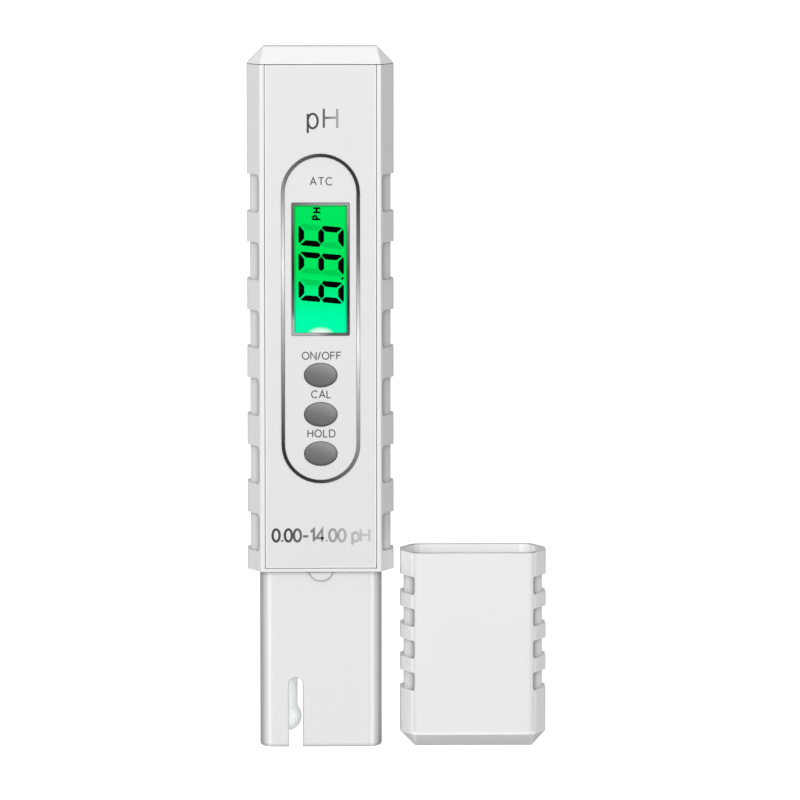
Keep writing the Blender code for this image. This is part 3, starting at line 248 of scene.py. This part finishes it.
# cap: painted shade on its rim line, painted light inside and on its sides, and painted light on the chamfer
# round its foot, brightest at the corners
cap = dict(
    rimPaintedShade=0.58,
    rimLine=0.04 * mm,
    innerPaintedLight=1.22,
    wall=1.5 * mm,
    sidePaintedLight=1.24,
    chamfer=3.3 * mm,
    chamferPaintedLight=1.12,
    cornerPaintedLight=1.25,
    flat=12.4 * mm,
    blend=0.1 * mm,
    wallBlend=0.2 * mm,
    sideBlend=0.4 * mm,
)


def sectionDepth(place, node):
    # how far a place is inside the facets and sides, behind the front or rear, and inside the sides alone
    low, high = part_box(node)
    width, depth = notches["facetWidth"], notches["facetDepth"]
    slant = math.hypot(width, depth)
    across = (high[0] - low[0]) / 2 - abs(place.part("X") - (low[0] + high[0]) / 2)
    behind = -low[1] - abs(place.part("Y"))
    facet = (across - width) * (depth / slant) + behind * (width / slant)
    return facet.least(across), behind, across


def notchPaintedShade(place, node="front_shell"):
    # painted shade on the notch floors, darkest just behind the front edge
    inside, behind = sectionDepth(place, node)[:2]
    notchShade = behind.spread(1.0 - notches["shade"], 0.0, notches["start"], notches["end"])
    underSkin = inside.least(behind).spread(0.0, 1.0, *notches["skin"])
    aboveFloor = inside.spread(1.0, 0.0, *notches["floor"])
    return 1.0 - underSkin * aboveFloor * notchShade


def capPaintedLightAndShade(place):
    low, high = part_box("cap_shell")
    inside, behind, across = sectionDepth(place, "cap_shell")
    # painted shade on the rim line; painted light inside, on the sides and on the chamfer round the foot
    height = place.part("Z")
    body = height.spread(0.0, 1.0, cap["chamfer"], cap["chamfer"] + cap["blend"])
    inner = body * inside.least(behind).spread(0.0, 1.0, cap["wall"] - cap["wallBlend"], cap["wall"])
    rim = height.spread(1.0, cap["rimPaintedShade"], high[2] - cap["rimLine"], high[2] - 0.5 * cap["rimLine"])
    middle = (high[0] - low[0]) / 2 - cap["flat"]
    foot = across.spread(cap["cornerPaintedLight"], cap["chamferPaintedLight"], middle - cap["blend"], middle)
    facet = notches["facetWidth"]
    side = across.spread(cap["sidePaintedLight"], 1.0, facet - cap["sideBlend"], facet)
    upright = notchPaintedShade(place, "cap_shell") * side * inner.spread(1.0, cap["innerPaintedLight"]) * rim
    return upright * body + foot * (1.0 - body)


# the painted highlight line and the painted shade in the seam are measured inwards from the faceplate's
# edges
faceplate = dict(
    colour=0.72,
    rough=0.39,
    grain=0.12 * mm,
    edgeHighlightLine=0.32 * mm,
    edgeHighlightGain=0.30,
    seam=0.12 * mm,
    seamShade=0.55,
)


def makeFacePlastic():
    # matt plate with painted shade in its seam and a painted highlight line along its edges
    material, shader, place = newMaterial("facePlastic")
    besideX = (faceHigh[0] - faceLow[0]) / 2 - abs(place.part("X") - meterX)
    besideZ = (faceHigh[2] - faceLow[2]) / 2 - abs(place.part("Z") - (faceHigh[2] + faceLow[2]) / 2)
    line, seam = faceplate["edgeHighlightLine"], faceplate["seam"]
    beside = besideX.least(besideZ)
    paintedHighlight = 1.0 + beside.spread(faceplate["edgeHighlightGain"], 0.0, 0.6 * line, line)
    level = paintedHighlight * beside.spread(1.0 - faceplate["seamShade"], 1.0, 0.8 * seam, seam)
    patches, fine = place.noise(patchSize, detail=2.0), place.noise(faceplate["grain"], detail=2.0)
    feed(
        shader,
        Base_Color=(level * (0.985 + 0.03 * patches)).shade((faceplate["colour"],) * 3),
        Roughness=faceplate["rough"] + 0.06 * (patches + fine - 0.5),
        Normal=fine.bump(0.006 * mm),
    )
    return material


# the sleeve's upright corners get painted shade, with a painted highlight line inside the shade, and the
# latch pip and the slot have painted shade along their edges
sleeve = dict(
    colour=0.765,
    flange=0.8 * mm,
    corner=3.0 * mm,
    cornerShade=0.49,
    shadeWidth=1.4 * mm,
    highlightLine=1.75 * mm,
    highlightWidth=0.55 * mm,
    highlightGain=0.18,
    slotPlace=-5.40 * mm,
    slotRadius=1.50 * mm,
    slotTop=15.0 * mm,
    slotLine=0.26 * mm,
    slotShade=0.34,
    pipHeight=38.6 * mm,
    pipRadius=2.62 * mm,
    pipLine=0.24 * mm,
    pipShade=0.60,
    creaseShade=0.35,
    sideBlend=1.0 * mm,
    frontSkin=(0.6 * mm, 1.0 * mm),
)


def makeSleevePlastic():
    material, shader, place = newMaterial("sleevePlastic", Coat_Weight=0.1, Coat_Roughness=0.15)
    low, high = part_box("probe_sleeve")
    across, height = abs(place.part("X") - meterX), place.part("Z")
    inward = (high[0] - low[0]) / 2 - sleeve["flange"] - across
    # painted shade on the upright corners, with a painted highlight line inside it
    paintedHighlight = abs(inward - sleeve["highlightLine"]).spread(sleeve["highlightGain"], 0.0, 0.0, sleeve["highlightWidth"])
    corner = inward.spread(sleeve["cornerShade"], 1.0, 0.0, sleeve["shadeWidth"]) + paintedHighlight
    behindCorner = high[1] - sleeve["corner"] - abs(place.part("Y"))
    onSide = behindCorner.spread(0.0, 1.0, 0.0, sleeve["sideBlend"])
    level = corner + onSide * (1.0 - corner)
    # painted shade along the pip's rim
    up = height - sleeve["pipHeight"]
    rim = abs((across * across + up * up).root() - sleeve["pipRadius"])
    onFront = place.part("Y").spread(1.0, 0.0, *[low[1] + depth for depth in sleeve["frontSkin"]])
    line = onFront * rim.spread(1.0 - sleeve["pipShade"], 0.0, 0.2 * sleeve["pipLine"], sleeve["pipLine"])
    # painted shade along the slot's edge
    besideSlot = place.part("X") - (meterX + sleeve["slotPlace"])
    above = (height - (sleeve["slotTop"] - sleeve["slotRadius"])).most(0.0)
    away = (besideSlot * besideSlot + above * above).root() - sleeve["slotRadius"]
    edge = onFront * away.spread(sleeve["slotShade"], 0.0, 0.6 * sleeve["slotLine"], sleeve["slotLine"])
    fine = place.noise(0.3 * mm, detail=2.0)
    base = (level * (1.0 - line) * (1.0 - edge)).shade((sleeve["colour"],) * 3)
    feed(
        shader,
        Base_Color=paintCreaseShade(place, base, sleeve["creaseShade"]),
        Roughness=0.32 + 0.08 * fine,
        Normal=fine.bump(0.004 * mm),
    )
    return material


def makeKeyRubber():
    # painted light: darker at the lower left, paler at the upper right, as light falls on the domed key,
    # with a fine matt grain
    material, shader, place = newMaterial("keyRubber", Specular_IOR_Level=0.2)
    share = place.make("ShaderNodeTexCoord", output="Generated")  # the place as a share of the key's size
    paintedLightSlope = 0.35 * share.part("X") + 0.65 * share.part("Z")
    fine = place.noise(0.07 * mm)
    feed(
        shader,
        Base_Color=paintedLightSlope.ramp([(0.15, 0.105), (0.50, 0.165), (0.90, 0.34)]),
        Roughness=0.50 + 0.12 * fine,
        Normal=fine.bump(0.006 * mm),
    )
    return material


def makeFoil(name, stops, low, high, lean=0.0):
    # polished foil with a painted reflection, its tone set by the stops along its height, which lean across
    # its width
    material, shader, place = newMaterial(name, Metallic=0.55)
    height = place.part("Z") + lean * (place.part("X") - meterX)
    fine = place.noise(0.3 * mm)
    feed(
        shader,
        Base_Color=height.spread(0.0, 1.0, low, high).ramp(stops),
        Roughness=0.16 + 0.08 * fine,
        Normal=fine.bump(0.002 * mm),
    )
    return material


def makeInk(name, left, right, low, high):
    # printed ink; where its two shades differ, the run from left to right between two places is a painted
    # reflection
    material, shader, place = newMaterial(name)
    fine = place.noise(0.05 * mm)
    run = place.part("X").spread(0.0, 1.0, low, high)
    feed(
        shader,
        Base_Color=run.mix(rgba(left), rgba(right)),
        Roughness=0.42 + 0.1 * fine,
        Normal=fine.bump(0.003 * mm),
    )
    return material


windowRim = 0.45 * mm  # how far the bezel covers the window
windowBlend = 0.02 * mm


def makeWindow():
    # clear plastic, blacked out where the bezel covers it
    material, shader, place = newMaterial("clearWindow", Transmission_Weight=1.0, IOR=1.06)
    low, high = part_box("display_window")
    patches = place.noise(20 * mm)
    feed(
        shader,
        Base_Color=patches.mix(rgba((0.98, 1.0, 0.98)), rgba((0.96, 0.98, 0.96))),
        Roughness=0.001 + 0.002 * patches,
    )
    halfWidth, halfHeight = (high[0] - low[0]) / 2 - windowRim, (high[2] - low[2]) / 2 - windowRim
    middleZ = (high[2] + low[2]) / 2
    besideX = abs(place.part("X") - meterX).spread(0.0, 1.0, halfWidth, halfWidth + windowBlend)
    besideZ = abs(place.part("Z") - middleZ).spread(0.0, 1.0, halfHeight, halfHeight + windowBlend)
    clear = Wire(shader.outputs[0])
    black = place.make("ShaderNodeBsdfPrincipled", values={"Base Color": rgba(0.02), "Roughness": 0.6})
    mixed = place.make("ShaderNodeMixShader", values={0: besideX + besideZ, 1: clear, 2: black})
    tree = material.node_tree
    tree.links.new(mixed.socket, tree.nodes["Material Output"].inputs["Surface"])
    return material


def makeMilkyGlass():
    # thin pale glass, partly see-through; a weak painted glow stands for the light that the milky fill
    # scatters
    material, shader, place = newMaterial(
        "electrodeGlass",
        IOR=1.30,
        Coat_Weight=0.6,
        Coat_Roughness=0.02,
        Emission_Color=rgba((0.95, 0.97, 0.97)),
        Emission_Strength=0.34,
    )
    fill = place.noise(1.2 * mm)
    feed(
        shader,
        Base_Color=fill.mix(rgba((0.90, 0.92, 0.92)), rgba((0.96, 0.97, 0.97))),
        Roughness=0.12 + 0.08 * fill,
        Alpha=0.82 + 0.10 * fill,
    )
    return material


def makeBoard():
    # green solder mask with fine raised tracks under it
    material, shader, place = newMaterial("solderMask", Coat_Weight=0.4, Coat_Roughness=0.1)
    bands = {"wave_type": "BANDS", "bands_direction": "DIAGONAL", "wave_profile": "SIN"}
    values = {"Vector": place, "Scale": 260.0, "Distortion": 1.5, "Detail": 1.0}
    lines = place.make("ShaderNodeTexWave", bands, values)
    tracks = lines.make("ShaderNodeMapRange", values={"Value": lines, "From Min": 0.55, "From Max": 0.62})
    feed(
        shader,
        Base_Color=tracks.mix(rgba((0.012, 0.12, 0.04)), rgba((0.03, 0.24, 0.08))),
        Roughness=0.30 + 0.1 * place.noise(1 * mm),
        Normal=tracks.bump(0.03 * mm),
    )
    return material


def makeSponge():
    # open cells, with painted shade deep in them between paler walls
    material, shader, place = newMaterial("cellSponge")
    cellSize = 0.55 * mm
    cells = place.make("ShaderNodeTexVoronoi", {"feature": "F1"}, {"Vector": place, "Scale": 1.0 / cellSize})
    pits = cells.spread(0.0, 1.0, 0.15, 0.6)
    feed(
        shader,
        Base_Color=pits.mix(rgba((0.30, 0.24, 0.08)), rgba((0.82, 0.74, 0.38))),
        Roughness=0.9 + 0.1 * pits,
        Normal=pits.bump(0.2 * mm),
    )
    return material


# lit panel: the heights and half width that are lit, its greens, the lamp's glow at its foot, its painted
# edge shade
lcd = dict(
    low=88.9 * mm,
    high=116.3 * mm,
    halfWidth=5.6 * mm,
    top=(0.0, 0.80, 0.115),
    bottom=(0.0, 1.0, 0.42),
    glow=(0.85, 1.0, 0.92),
    glowWidth=2.9 * mm,
    glowHeight=1.5 * mm,
    edge=0.45 * mm,
    edgeShadeLevel=0.45,
    strength=1.0,
)


def makeLitPanel():
    # backlight: green, bluer towards the lamp at the lower end, with the lamp's glow there and painted shade
    # along its edges, under the bezel
    material, shader, place = newMaterial("litPanel", Emission_Strength=lcd["strength"], Roughness=0.2)
    shader.inputs["Base Color"].default_value = rgba(0.0)
    shader.inputs["Specular IOR Level"].default_value = 0.0
    across = abs(place.part("X") - meterX)
    height = place.part("Z")
    green = height.spread(0.0, 1.0, lcd["low"], lcd["high"]).ramp(
        [(0.0, lcd["bottom"]), (0.12, lcd["bottom"]), (0.45, lcd["top"]), (1.0, lcd["top"])]
    )
    reachX = across * (1.0 / lcd["glowWidth"])
    reachZ = (height - lcd["low"]) * (1.0 / lcd["glowHeight"])
    glow = (reachX * reachX + reachZ * reachZ).spread(1.0, 0.0, 0.15, 1.0)
    lit = glow.mix(green, rgba(lcd["glow"]))
    # painted shade along the panel's edges, under the bezel
    inX = (lcd["halfWidth"] - across).spread(lcd["edgeShadeLevel"], 1.0, 0.0, lcd["edge"])
    inTop = (lcd["high"] - height).spread(lcd["edgeShadeLevel"], 1.0, 0.0, lcd["edge"])
    fine = place.noise(1.5 * mm)
    edgeShade = inX * inTop * (0.98 + 0.04 * fine)
    feed(shader, Emission_Color=edgeShade.mix(rgba(0.0), lit))
    return material


def makeSegmentInk(name, colour):
    # unlit ink, its colour given as light so that the panel's green doesn't tint it
    material, shader, place = newMaterial(
        name, Emission_Strength=1.0, Roughness=1.0, Specular_IOR_Level=0.0
    )
    shader.inputs["Base Color"].default_value = rgba(0.0)
    fine = place.noise(0.2 * mm)
    feed(shader, Emission_Color=fine.mix(rgba(colour), rgba([0.9 * channel for channel in colour])))
    return material


materials = {name: grained(name, **values) for name, values in finishes.items()}
materials["housingPlastic"] = grained("housingPlastic", paintedLightAndShade=notchPaintedShade, **finishes["whitePlastic"])
materials["capPlastic"] = grained("capPlastic", paintedLightAndShade=capPaintedLightAndShade, **finishes["whitePlastic"])
materials["facePlastic"] = makeFacePlastic()
materials["keyRubber"] = makeKeyRubber()
materials["sleevePlastic"] = makeSleevePlastic()
# the ring's and the bezel's stops are a painted reflection
materials["ringFoil"] = makeFoil(
    "ringFoil",
    [
        (0.0, 0.015),
        (0.10, 0.03),
        (0.25, 0.22),
        (0.42, 0.55),
        (0.54, 0.95),
        (0.66, 0.55),
        (0.76, 0.18),
        (0.92, 0.02),
    ],
    48 * mm,
    135 * mm,
    lean=1.04,
)
materials["bezelFoil"] = makeFoil(
    "bezelFoil",
    [(0.0, 0.45), (0.06, 0.12), (0.35, 0.02), (0.60, 0.05), (0.90, 0.18), (1.0, 0.30)],
    88.5 * mm,
    117 * mm,
    lean=0.6,
)
materials["clearWindow"] = makeWindow()
materials["electrodeGlass"] = makeMilkyGlass()
materials["solderMask"] = makeBoard()
materials["cellSponge"] = makeSponge()
materials["litPanel"] = makeLitPanel()
print("materials made:", len(materials))


nodeFinish = {
    "whitePlastic": ["battery_cap"],
    "housingPlastic": ["front_shell", "rear_shell"],
    "capPlastic": ["cap_shell"],
    "sleevePlastic": ["probe_sleeve"],
    "facePlastic": ["faceplate"],
    "ringFoil": ["trim_ring"],
    "bezelFoil": ["display_bezel"],
    "clearWindow": ["display_window"],
    "litPanel": ["lcd_panel"],
    "milkyPlastic": ["light_guide", "backlight_led"],
    "blackPlastic": [
        "lcd_holder",
        "controller_chip",
        "amplifier_chip",
        "capacitor",
        "battery_tray",
        "contact_plate",
    ],
    "blackRubber": [
        "contact_strip_left",
        "contact_strip_right",
        "battery_cap_seal",
        "sleeve_seal",
        "electrode_plug",
        "reference_plug",
    ],
    "solderMask": ["circuit_board"],
    "steel": ["crystal", "temperature_probe"],
    "brass": ["cell_link", "contact_spring_positive", "contact_spring_negative"],
    "silver": ["electrode_wire", "reference_wire"],
    "ceramic": ["reference_junction"],
    "epoxy": ["sensor_holder", "thermistor_bead"],
    "electrodeGlass": ["glass_electrode"],
    "redSleeving": ["battery_lead_positive", "thermistor_lead"],
    "blackSleeving": ["battery_lead_negative", "reference_lead"],
    "whiteSleeving": ["signal_lead"],
    "cellSponge": ["cap_sponge"],
    "keyRubber": [],
}
for key in ("on_off", "cal", "hold"):
    nodeFinish["keyRubber"].append("button_" + key)
    nodeFinish["blackPlastic"].append("switch_plunger_" + key)
    nodeFinish["steel"].append("switch_body_" + key)
nodeFinish["steel"] += [name for name in nodes if name.startswith(("shell_screw", "button_cell"))]

for finish, names in nodeFinish.items():
    for name in names:
        mesh = nodes[name].data
        mesh.materials.clear()
        mesh.materials.append(materials[finish])
missing = set(nodes) - {name for names in nodeFinish.values() for name in names}
print("nodes without a finish:", sorted(missing))

# Softened moulding edges: width of the round
edgeRounds = {
    "front_shell": 0.18 * mm,
    "rear_shell": 0.18 * mm,
    "battery_cap": 0.20 * mm,
    "cap_shell": 0.20 * mm,
    "probe_sleeve": 0.15 * mm,
    "faceplate": 0.10 * mm,
    "trim_ring": 0.10 * mm,
    "display_bezel": 0.12 * mm,
}
sharpestKept = math.radians(32)  # edges that turn less than this aren't rounded


def soften(node, width):
    bevel = node.modifiers.new("softEdges", "BEVEL")
    bevel.width = width
    bevel.segments = 2
    bevel.limit_method = "ANGLE"
    bevel.angle_limit = sharpestKept
    bevel.harden_normals = True
    bevel.use_clamp_overlap = True


for name, width in edgeRounds.items():
    soften(nodes[name], width)
print("edges softened:", len(edgeRounds))


def newPiece(name, bm, material, body):
    bmesh.ops.recalc_face_normals(bm, faces=bm.faces[:])
    mesh = bpy.data.meshes.new(name)
    bm.to_mesh(mesh)
    bm.free()
    mesh.materials.append(material)
    piece = bpy.data.objects.new(name, mesh)
    bpy.context.scene.collection.objects.link(piece)
    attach(piece, body)
    return piece


def addPrism(bm, outline, backY, frontY):
    # closed outline of (x, z) points, as a thin solid from backY to frontY
    back = [bm.verts.new((x, backY, z)) for x, z in outline]
    front = [bm.verts.new((x, frontY, z)) for x, z in outline]
    bm.faces.new(back)
    bm.faces.new(front[::-1])
    for index in range(len(outline)):
        after = (index + 1) % len(outline)
        bm.faces.new((back[index], front[index], front[after], back[after]))


def arc(centreX, centreY, radiusX, radiusY, start, end, steps=14):
    turns = [math.radians(start + (end - start) * step / steps) for step in range(steps + 1)]
    return [(centreX + radiusX * math.cos(turn), centreY + radiusY * math.sin(turn)) for turn in turns]


def strokeOutlines(points, weight):
    # one quad for each straight run, mitred where runs meet
    points = [Vector(point) for point in points]
    closed = (points[0] - points[-1]).length < 1e-6
    if closed:
        points = points[:-1]
    count = len(points)
    sides = []
    for index, point in enumerate(points):
        before = points[index - 1] if closed or index > 0 else None
        after = points[(index + 1) % count] if closed or index < count - 1 else None
        runIn = (point - before).normalized() if before is not None else None
        runOut = (after - point).normalized() if after is not None else None
        runIn = runIn or runOut
        runOut = runOut or runIn
        along = (runIn + runOut).normalized()
        normal = Vector((-along.y, along.x))
        reach = max(normal.dot(Vector((-runIn.y, runIn.x))), 0.35)
        sides.append(normal * weight / 2 / reach)
    pairs = zip(range(count), range(1, count + (1 if closed else 0)))
    quads = []
    for first, second in pairs:
        second %= count
        a, b = points[first], points[second]
        quads.append([a + sides[first], b + sides[second], b - sides[second], a - sides[first]])
    return [[tuple(corner) for corner in quad] for quad in quads]


# each letter: its width and its strokes, in units of the capital height
letters = {
    "A": (0.80, [[(0.0, 0.0), (0.40, 1.0), (0.80, 0.0)], [(0.14, 0.34), (0.66, 0.34)]]),
    "C": (0.82, [arc(0.45, 0.5, 0.45, 0.5, 42, 318)]),
    "D": (0.80, [[(0.0, 0.0), (0.0, 1.0), *arc(0.32, 0.5, 0.46, 0.5, 90, -90), (0.0, 0.0)]]),
    "F": (0.58, [[(0.0, 0.0), (0.0, 1.0), (0.58, 1.0)], [(0.0, 0.52), (0.50, 0.52)]]),
    "H": (0.70, [[(0.0, 0.0), (0.0, 1.0)], [(0.70, 0.0), (0.70, 1.0)], [(0.0, 0.53), (0.70, 0.53)]]),
    "L": (0.54, [[(0.0, 1.0), (0.0, 0.0), (0.54, 0.0)]]),
    "N": (0.74, [[(0.0, 0.0), (0.0, 1.0), (0.74, 0.0), (0.74, 1.0)]]),
    "O": (0.92, [arc(0.46, 0.5, 0.46, 0.5, 0, 360, 24)]),
    "P": (
        0.62,
        [[(0.0, 0.0), (0.0, 1.0), (0.36, 1.0), *arc(0.36, 0.76, 0.26, 0.24, 90, -90, 8), (0.0, 0.52)]],
    ),
    "T": (0.72, [[(0.0, 1.0), (0.72, 1.0)], [(0.36, 1.0), (0.36, 0.0)]]),
    "p": (0.52, [[(0.0, -0.27), (0.0, 0.74)], arc(0.26, 0.36, 0.26, 0.38, 0, 360, 20)]),
    "0": (0.58, [arc(0.29, 0.5, 0.29, 0.5, 0, 360, 22)]),
    "1": (0.34, [[(0.04, 0.78), (0.30, 1.0), (0.30, 0.0)]]),
    "4": (0.64, [[(0.48, 0.0), (0.48, 1.0), (0.0, 0.27), (0.64, 0.27)]]),
    "/": (0.34, [[(0.0, -0.04), (0.34, 1.04)]]),
    "-": (0.44, [[(0.0, 0.42), (0.44, 0.42)]]),
    ".": (0.10, [[(0.05, 0.0), (0.05, 0.11)]]),
    " ": (0.26, []),
}

# middle height, capital height, stroke weight, letter spacing, and how far right of the middle
labels = dict(
    labelPh=dict(
        text="pH", middle=134.95 * mm, capital=4.05 * mm,
        weight=0.48 * mm, spacing=1.3 * mm, shift=0.45 * mm,
    ),
    labelCompensation=dict(
        text="ATC", middle=121.6 * mm, capital=1.58 * mm,
        weight=0.24 * mm, spacing=0.47 * mm, shift=0.15 * mm,
    ),
    labelPower=dict(
        text="ON/OFF", middle=84.45 * mm, capital=1.52 * mm,
        weight=0.24 * mm, spacing=0.40 * mm, shift=0.2 * mm,
    ),
    labelCalibrate=dict(
        text="CAL", middle=76.2 * mm, capital=1.5 * mm,
        weight=0.24 * mm, spacing=0.42 * mm, shift=0.1 * mm,
    ),
    labelHold=dict(
        text="HOLD", middle=67.82 * mm, capital=1.5 * mm,
        weight=0.24 * mm, spacing=0.46 * mm, shift=0.15 * mm,
    ),
    labelRange=dict(
        text="0.00-14.00 pH", middle=45.95 * mm, capital=2.6 * mm,
        weight=0.52 * mm, spacing=0.42 * mm, shift=0.0,
    ),
)
inkProud = 0.02 * mm
strokeStep = 0.002 * mm  # each further stroke of a letter is this much prouder, so that none share a face
letterMaterials = dict(
    # the pH and the range get a painted reflection, dark at the left
    labelPh=makeInk("legendInk", 0.03, 0.36, meterX, meterX + 4.2 * mm),
    labelRange=makeInk("rangeInk", 0.03, 0.52, meterX - 7 * mm, meterX + 10 * mm),
)
greyInk = makeInk("greyInk", 0.062, 0.062, -1.0, 1.0)


def makeLabel(name, text, middle, capital, weight, spacing, shift):
    width = sum(letters[letter][0] * capital + spacing for letter in text) - spacing
    left = meterX + shift - width / 2
    bm = bmesh.new()
    for letter in text:
        letterWidth, strokes = letters[letter]
        for index, stroke in enumerate(strokes):
            proud = inkProud + strokeStep * index
            placed = [(left + u * capital, middle + (v - 0.5) * capital) for u, v in stroke]
            for quad in strokeOutlines(placed, weight):
                addPrism(bm, quad, faceY + inkProud, faceY - proud)
        left += letterWidth * capital + spacing
    newPiece(name, bm, letterMaterials.get(name, greyInk), "meter")


for name, label in labels.items():
    makeLabel(name, **label)
print("labels made:", len(labels))

# digits stand on their side: their right is up, and their top points to -X
reading = dict(
    digits="635",
    starts=[95.65 * mm, 101.5 * mm, 107.4 * mm],
    width=4.63 * mm,
    height=9.68 * mm,
    weight=1.24 * mm,
    gap=0.09 * mm,
    lean=0.09,
    centre=0.15 * mm,
    pointPlace=(4.65 * mm, 100.75 * mm),
    pointRadius=0.30 * mm,
    back=0.01 * mm,
    front=0.05 * mm,
    # the end of a bar, from its outer edge to its inner one: how far it is cut back and how far outward it
    # lies, in halves of the weight, at a digit's corner and where three bars meet
    cornerEnd=[(0.1, 1.0), (-0.5, 0.6), (1.4, -1.0)],
    meetingEnd=[(0.5, 1.0), (0.0, 0.0), (1.3, -1.0)],
)
# the unit stands after the last digit, turned as the digits are
unit = dict(
    text="PH",
    capital=1.55 * mm,
    narrowing=0.8,
    weight=0.40 * mm,
    start=113.35 * mm,
    gap=0.72 * mm,
)
litSegments = {"6": "acdefg", "3": "abcdg", "5": "acdfg"}


def segmentOutline(name):
    # one bar of a seven-bar digit, as (right, up) points about the digit's lower left and middle
    width, half, weight, gap = reading["width"], reading["height"] / 2, reading["weight"], reading["gap"]
    left, right = weight / 2, width - weight / 2
    top, low = half - weight / 2, -half + weight / 2
    ends = {
        "a": ((left, top), (right, top)),
        "b": ((right, top), (right, 0.0)),
        "c": ((right, 0.0), (right, low)),
        "d": ((left, low), (right, low)),
        "e": ((left, 0.0), (left, low)),
        "f": ((left, top), (left, 0.0)),
        "g": ((left, 0.0), (right, 0.0)),
    }
    start, end = (Vector(point) for point in ends[name])
    along = (end - start).normalized()
    inner = weight / 2
    side = Vector((-along.y, along.x)) * inner
    if name == "g":
        start, end = start + along * gap, end - along * gap
        return [
            start,
            start + along * inner + side,
            end - along * inner + side,
            end,
            end - along * inner - side,
            start + along * inner - side,
        ]
    middle = Vector((width / 2, start.y if name in "ad" else 0.0))
    outward = side if side.dot(start - middle) > 0 or (name in "ad" and side.y * start.y > 0) else -side
    outline = []
    for corner, inwards in ((start, along), (end, -along)):
        shape = reading["cornerEnd"] if abs(corner.y) > half - weight else reading["meetingEnd"]
        outline.append([corner + inwards * (gap + back * inner) + out * outward for back, out in shape])
    return outline[0] + outline[1][::-1]


def onDisplay(point, start):
    # (right, up) of the digit to (x, z) on the display
    right, up = point
    return meterX + reading["centre"] - up, start + right + reading["lean"] * up


def makeReading():
    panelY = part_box("lcd_panel")[0][1]
    backY, frontY = panelY - reading["back"], panelY - reading["front"]
    lit, idle = bmesh.new(), bmesh.new()
    for digit, start in zip(reading["digits"], reading["starts"]):
        for name in "abcdefg":
            outline = [onDisplay(point, start) for point in segmentOutline(name)]
            addPrism(lit if name in litSegments[digit] else idle, outline, backY, frontY)
    pointX, pointZ = reading["pointPlace"]
    dot = arc(meterX + pointX, pointZ, reading["pointRadius"], reading["pointRadius"], 0, 330, 11)
    addPrism(lit, dot, backY, frontY)
    start, capital = unit["start"], unit["capital"]
    narrow = unit["narrowing"] * capital
    for letter in unit["text"]:
        letterWidth, strokes = letters[letter]
        for stroke in strokes:
            placed = [(meterX - v * capital, start + narrow * u) for u, v in stroke]
            for quad in strokeOutlines(placed, unit["weight"]):
                addPrism(lit, quad, backY, frontY)
        start += narrow * letterWidth + unit["gap"]
    litInk = makeSegmentInk("segmentInk", (0.0, 0.0005, 0.0002))
    idleInk = makeSegmentInk("idleSegmentInk", (0.0, 0.66, 0.10))
    newPiece("displayReading", lit, litInk, "meter")
    newPiece("displayIdleSegments", idle, idleInk, "meter")


makeReading()
print("display made")


# floor and world, and the camera's place, as two angles in degrees and a distance in metres
studio = dict(
    floorSize=30.0,
    floorGlow=1.0,
    floorShade=0.45,
    floorPatch=0.5,
    floorDrop=0.02 * mm,
    worldLight=0.54,
    elevation=5.9,
    azimuth=-1.2,
    distance=1.2,
    lens=251.8,
    target=(0.7 * mm, 0.0, 74.07 * mm),
)

# place, size and power of each lamp; all are aimed where the camera looks
lamps = dict(
    keyLight=dict(place=(-0.50, -1.20, 0.45), size=0.7, power=8.2),
    fillLight=dict(place=(0.35, -1.30, 0.30), size=0.6, power=4.2),
    topLight=dict(place=(0.0, -0.20, 1.20), size=0.6, power=1.4),
    leftLight=dict(place=(-1.20, 0.10, 0.30), size=0.5, power=1.5),
)


def makeFloor():
    bm = bmesh.new()
    bmesh.ops.create_grid(bm, x_segments=1, y_segments=1, size=studio["floorSize"])
    mesh = bpy.data.meshes.new("studioFloor")
    bm.to_mesh(mesh)
    bm.free()
    floor = bpy.data.objects.new("studioFloor", mesh)
    bpy.context.scene.collection.objects.link(floor)
    floor.location.z = -studio["floorDrop"]
    material, shader, place = newMaterial("paleFloor", Emission_Strength=studio["floorGlow"], Roughness=0.9)
    shader.inputs["Specular IOR Level"].default_value = 0.0
    shade = studio["floorShade"]
    feed(shader, Base_Color=place.noise(studio["floorPatch"]).mix(rgba(shade), rgba(0.99 * shade)))
    shader.inputs["Emission Color"].default_value = rgba(1.0)
    tree = material.node_tree
    plain = place.make("ShaderNodeBsdfDiffuse", values={"Color": rgba(shade)})
    seen = place.make("ShaderNodeLightPath")  # the camera sees the glow, and light sees the plain floor
    glow = Wire(shader.outputs[0])
    mixed = place.make("ShaderNodeMixShader", values={0: seen, 1: plain, 2: glow})
    tree.links.new(mixed.socket, tree.nodes["Material Output"].inputs["Surface"])
    mesh.materials.append(material)


def aimed(thing, place, target):
    thing.location = place
    thing.rotation_euler = (Vector(target) - Vector(place)).to_track_quat("-Z", "Y").to_euler()
    bpy.context.scene.collection.objects.link(thing)
    return thing


def makeLamp(name, place, size, power):
    light = bpy.data.lights.new(name, "AREA")
    light.shape = "SQUARE"
    light.size = size
    light.energy = power
    aimed(bpy.data.objects.new(name, light), place, studio["target"])


def makeWorld():
    world = bpy.data.worlds.new("studioAir")
    world.use_nodes = True
    background = world.node_tree.nodes["Background"]
    background.inputs["Color"].default_value = rgba(1.0)
    seen = Wire(background.outputs[0]).make("ShaderNodeLightPath")  # the camera sees plain white
    world.node_tree.links.new(seen.spread(studio["worldLight"], 1.0).socket, background.inputs["Strength"])
    bpy.context.scene.world = world


def makeCamera():
    camera = bpy.data.cameras.new("camera")
    camera.lens = studio["lens"]
    camera.clip_end = 100.0
    rise, turn = math.radians(studio["elevation"]), math.radians(studio["azimuth"])
    level = math.cos(rise)
    away = Vector((level * math.sin(turn), -level * math.cos(turn), math.sin(rise))) * studio["distance"]
    target = Vector(studio["target"])
    bpy.context.scene.camera = aimed(bpy.data.objects.new("camera", camera), target + away, target)


makeFloor()
for name, lamp in lamps.items():
    makeLamp(name, **lamp)
makeWorld()
makeCamera()
bpy.context.scene.view_settings.view_transform = "Standard"
print("studio made")
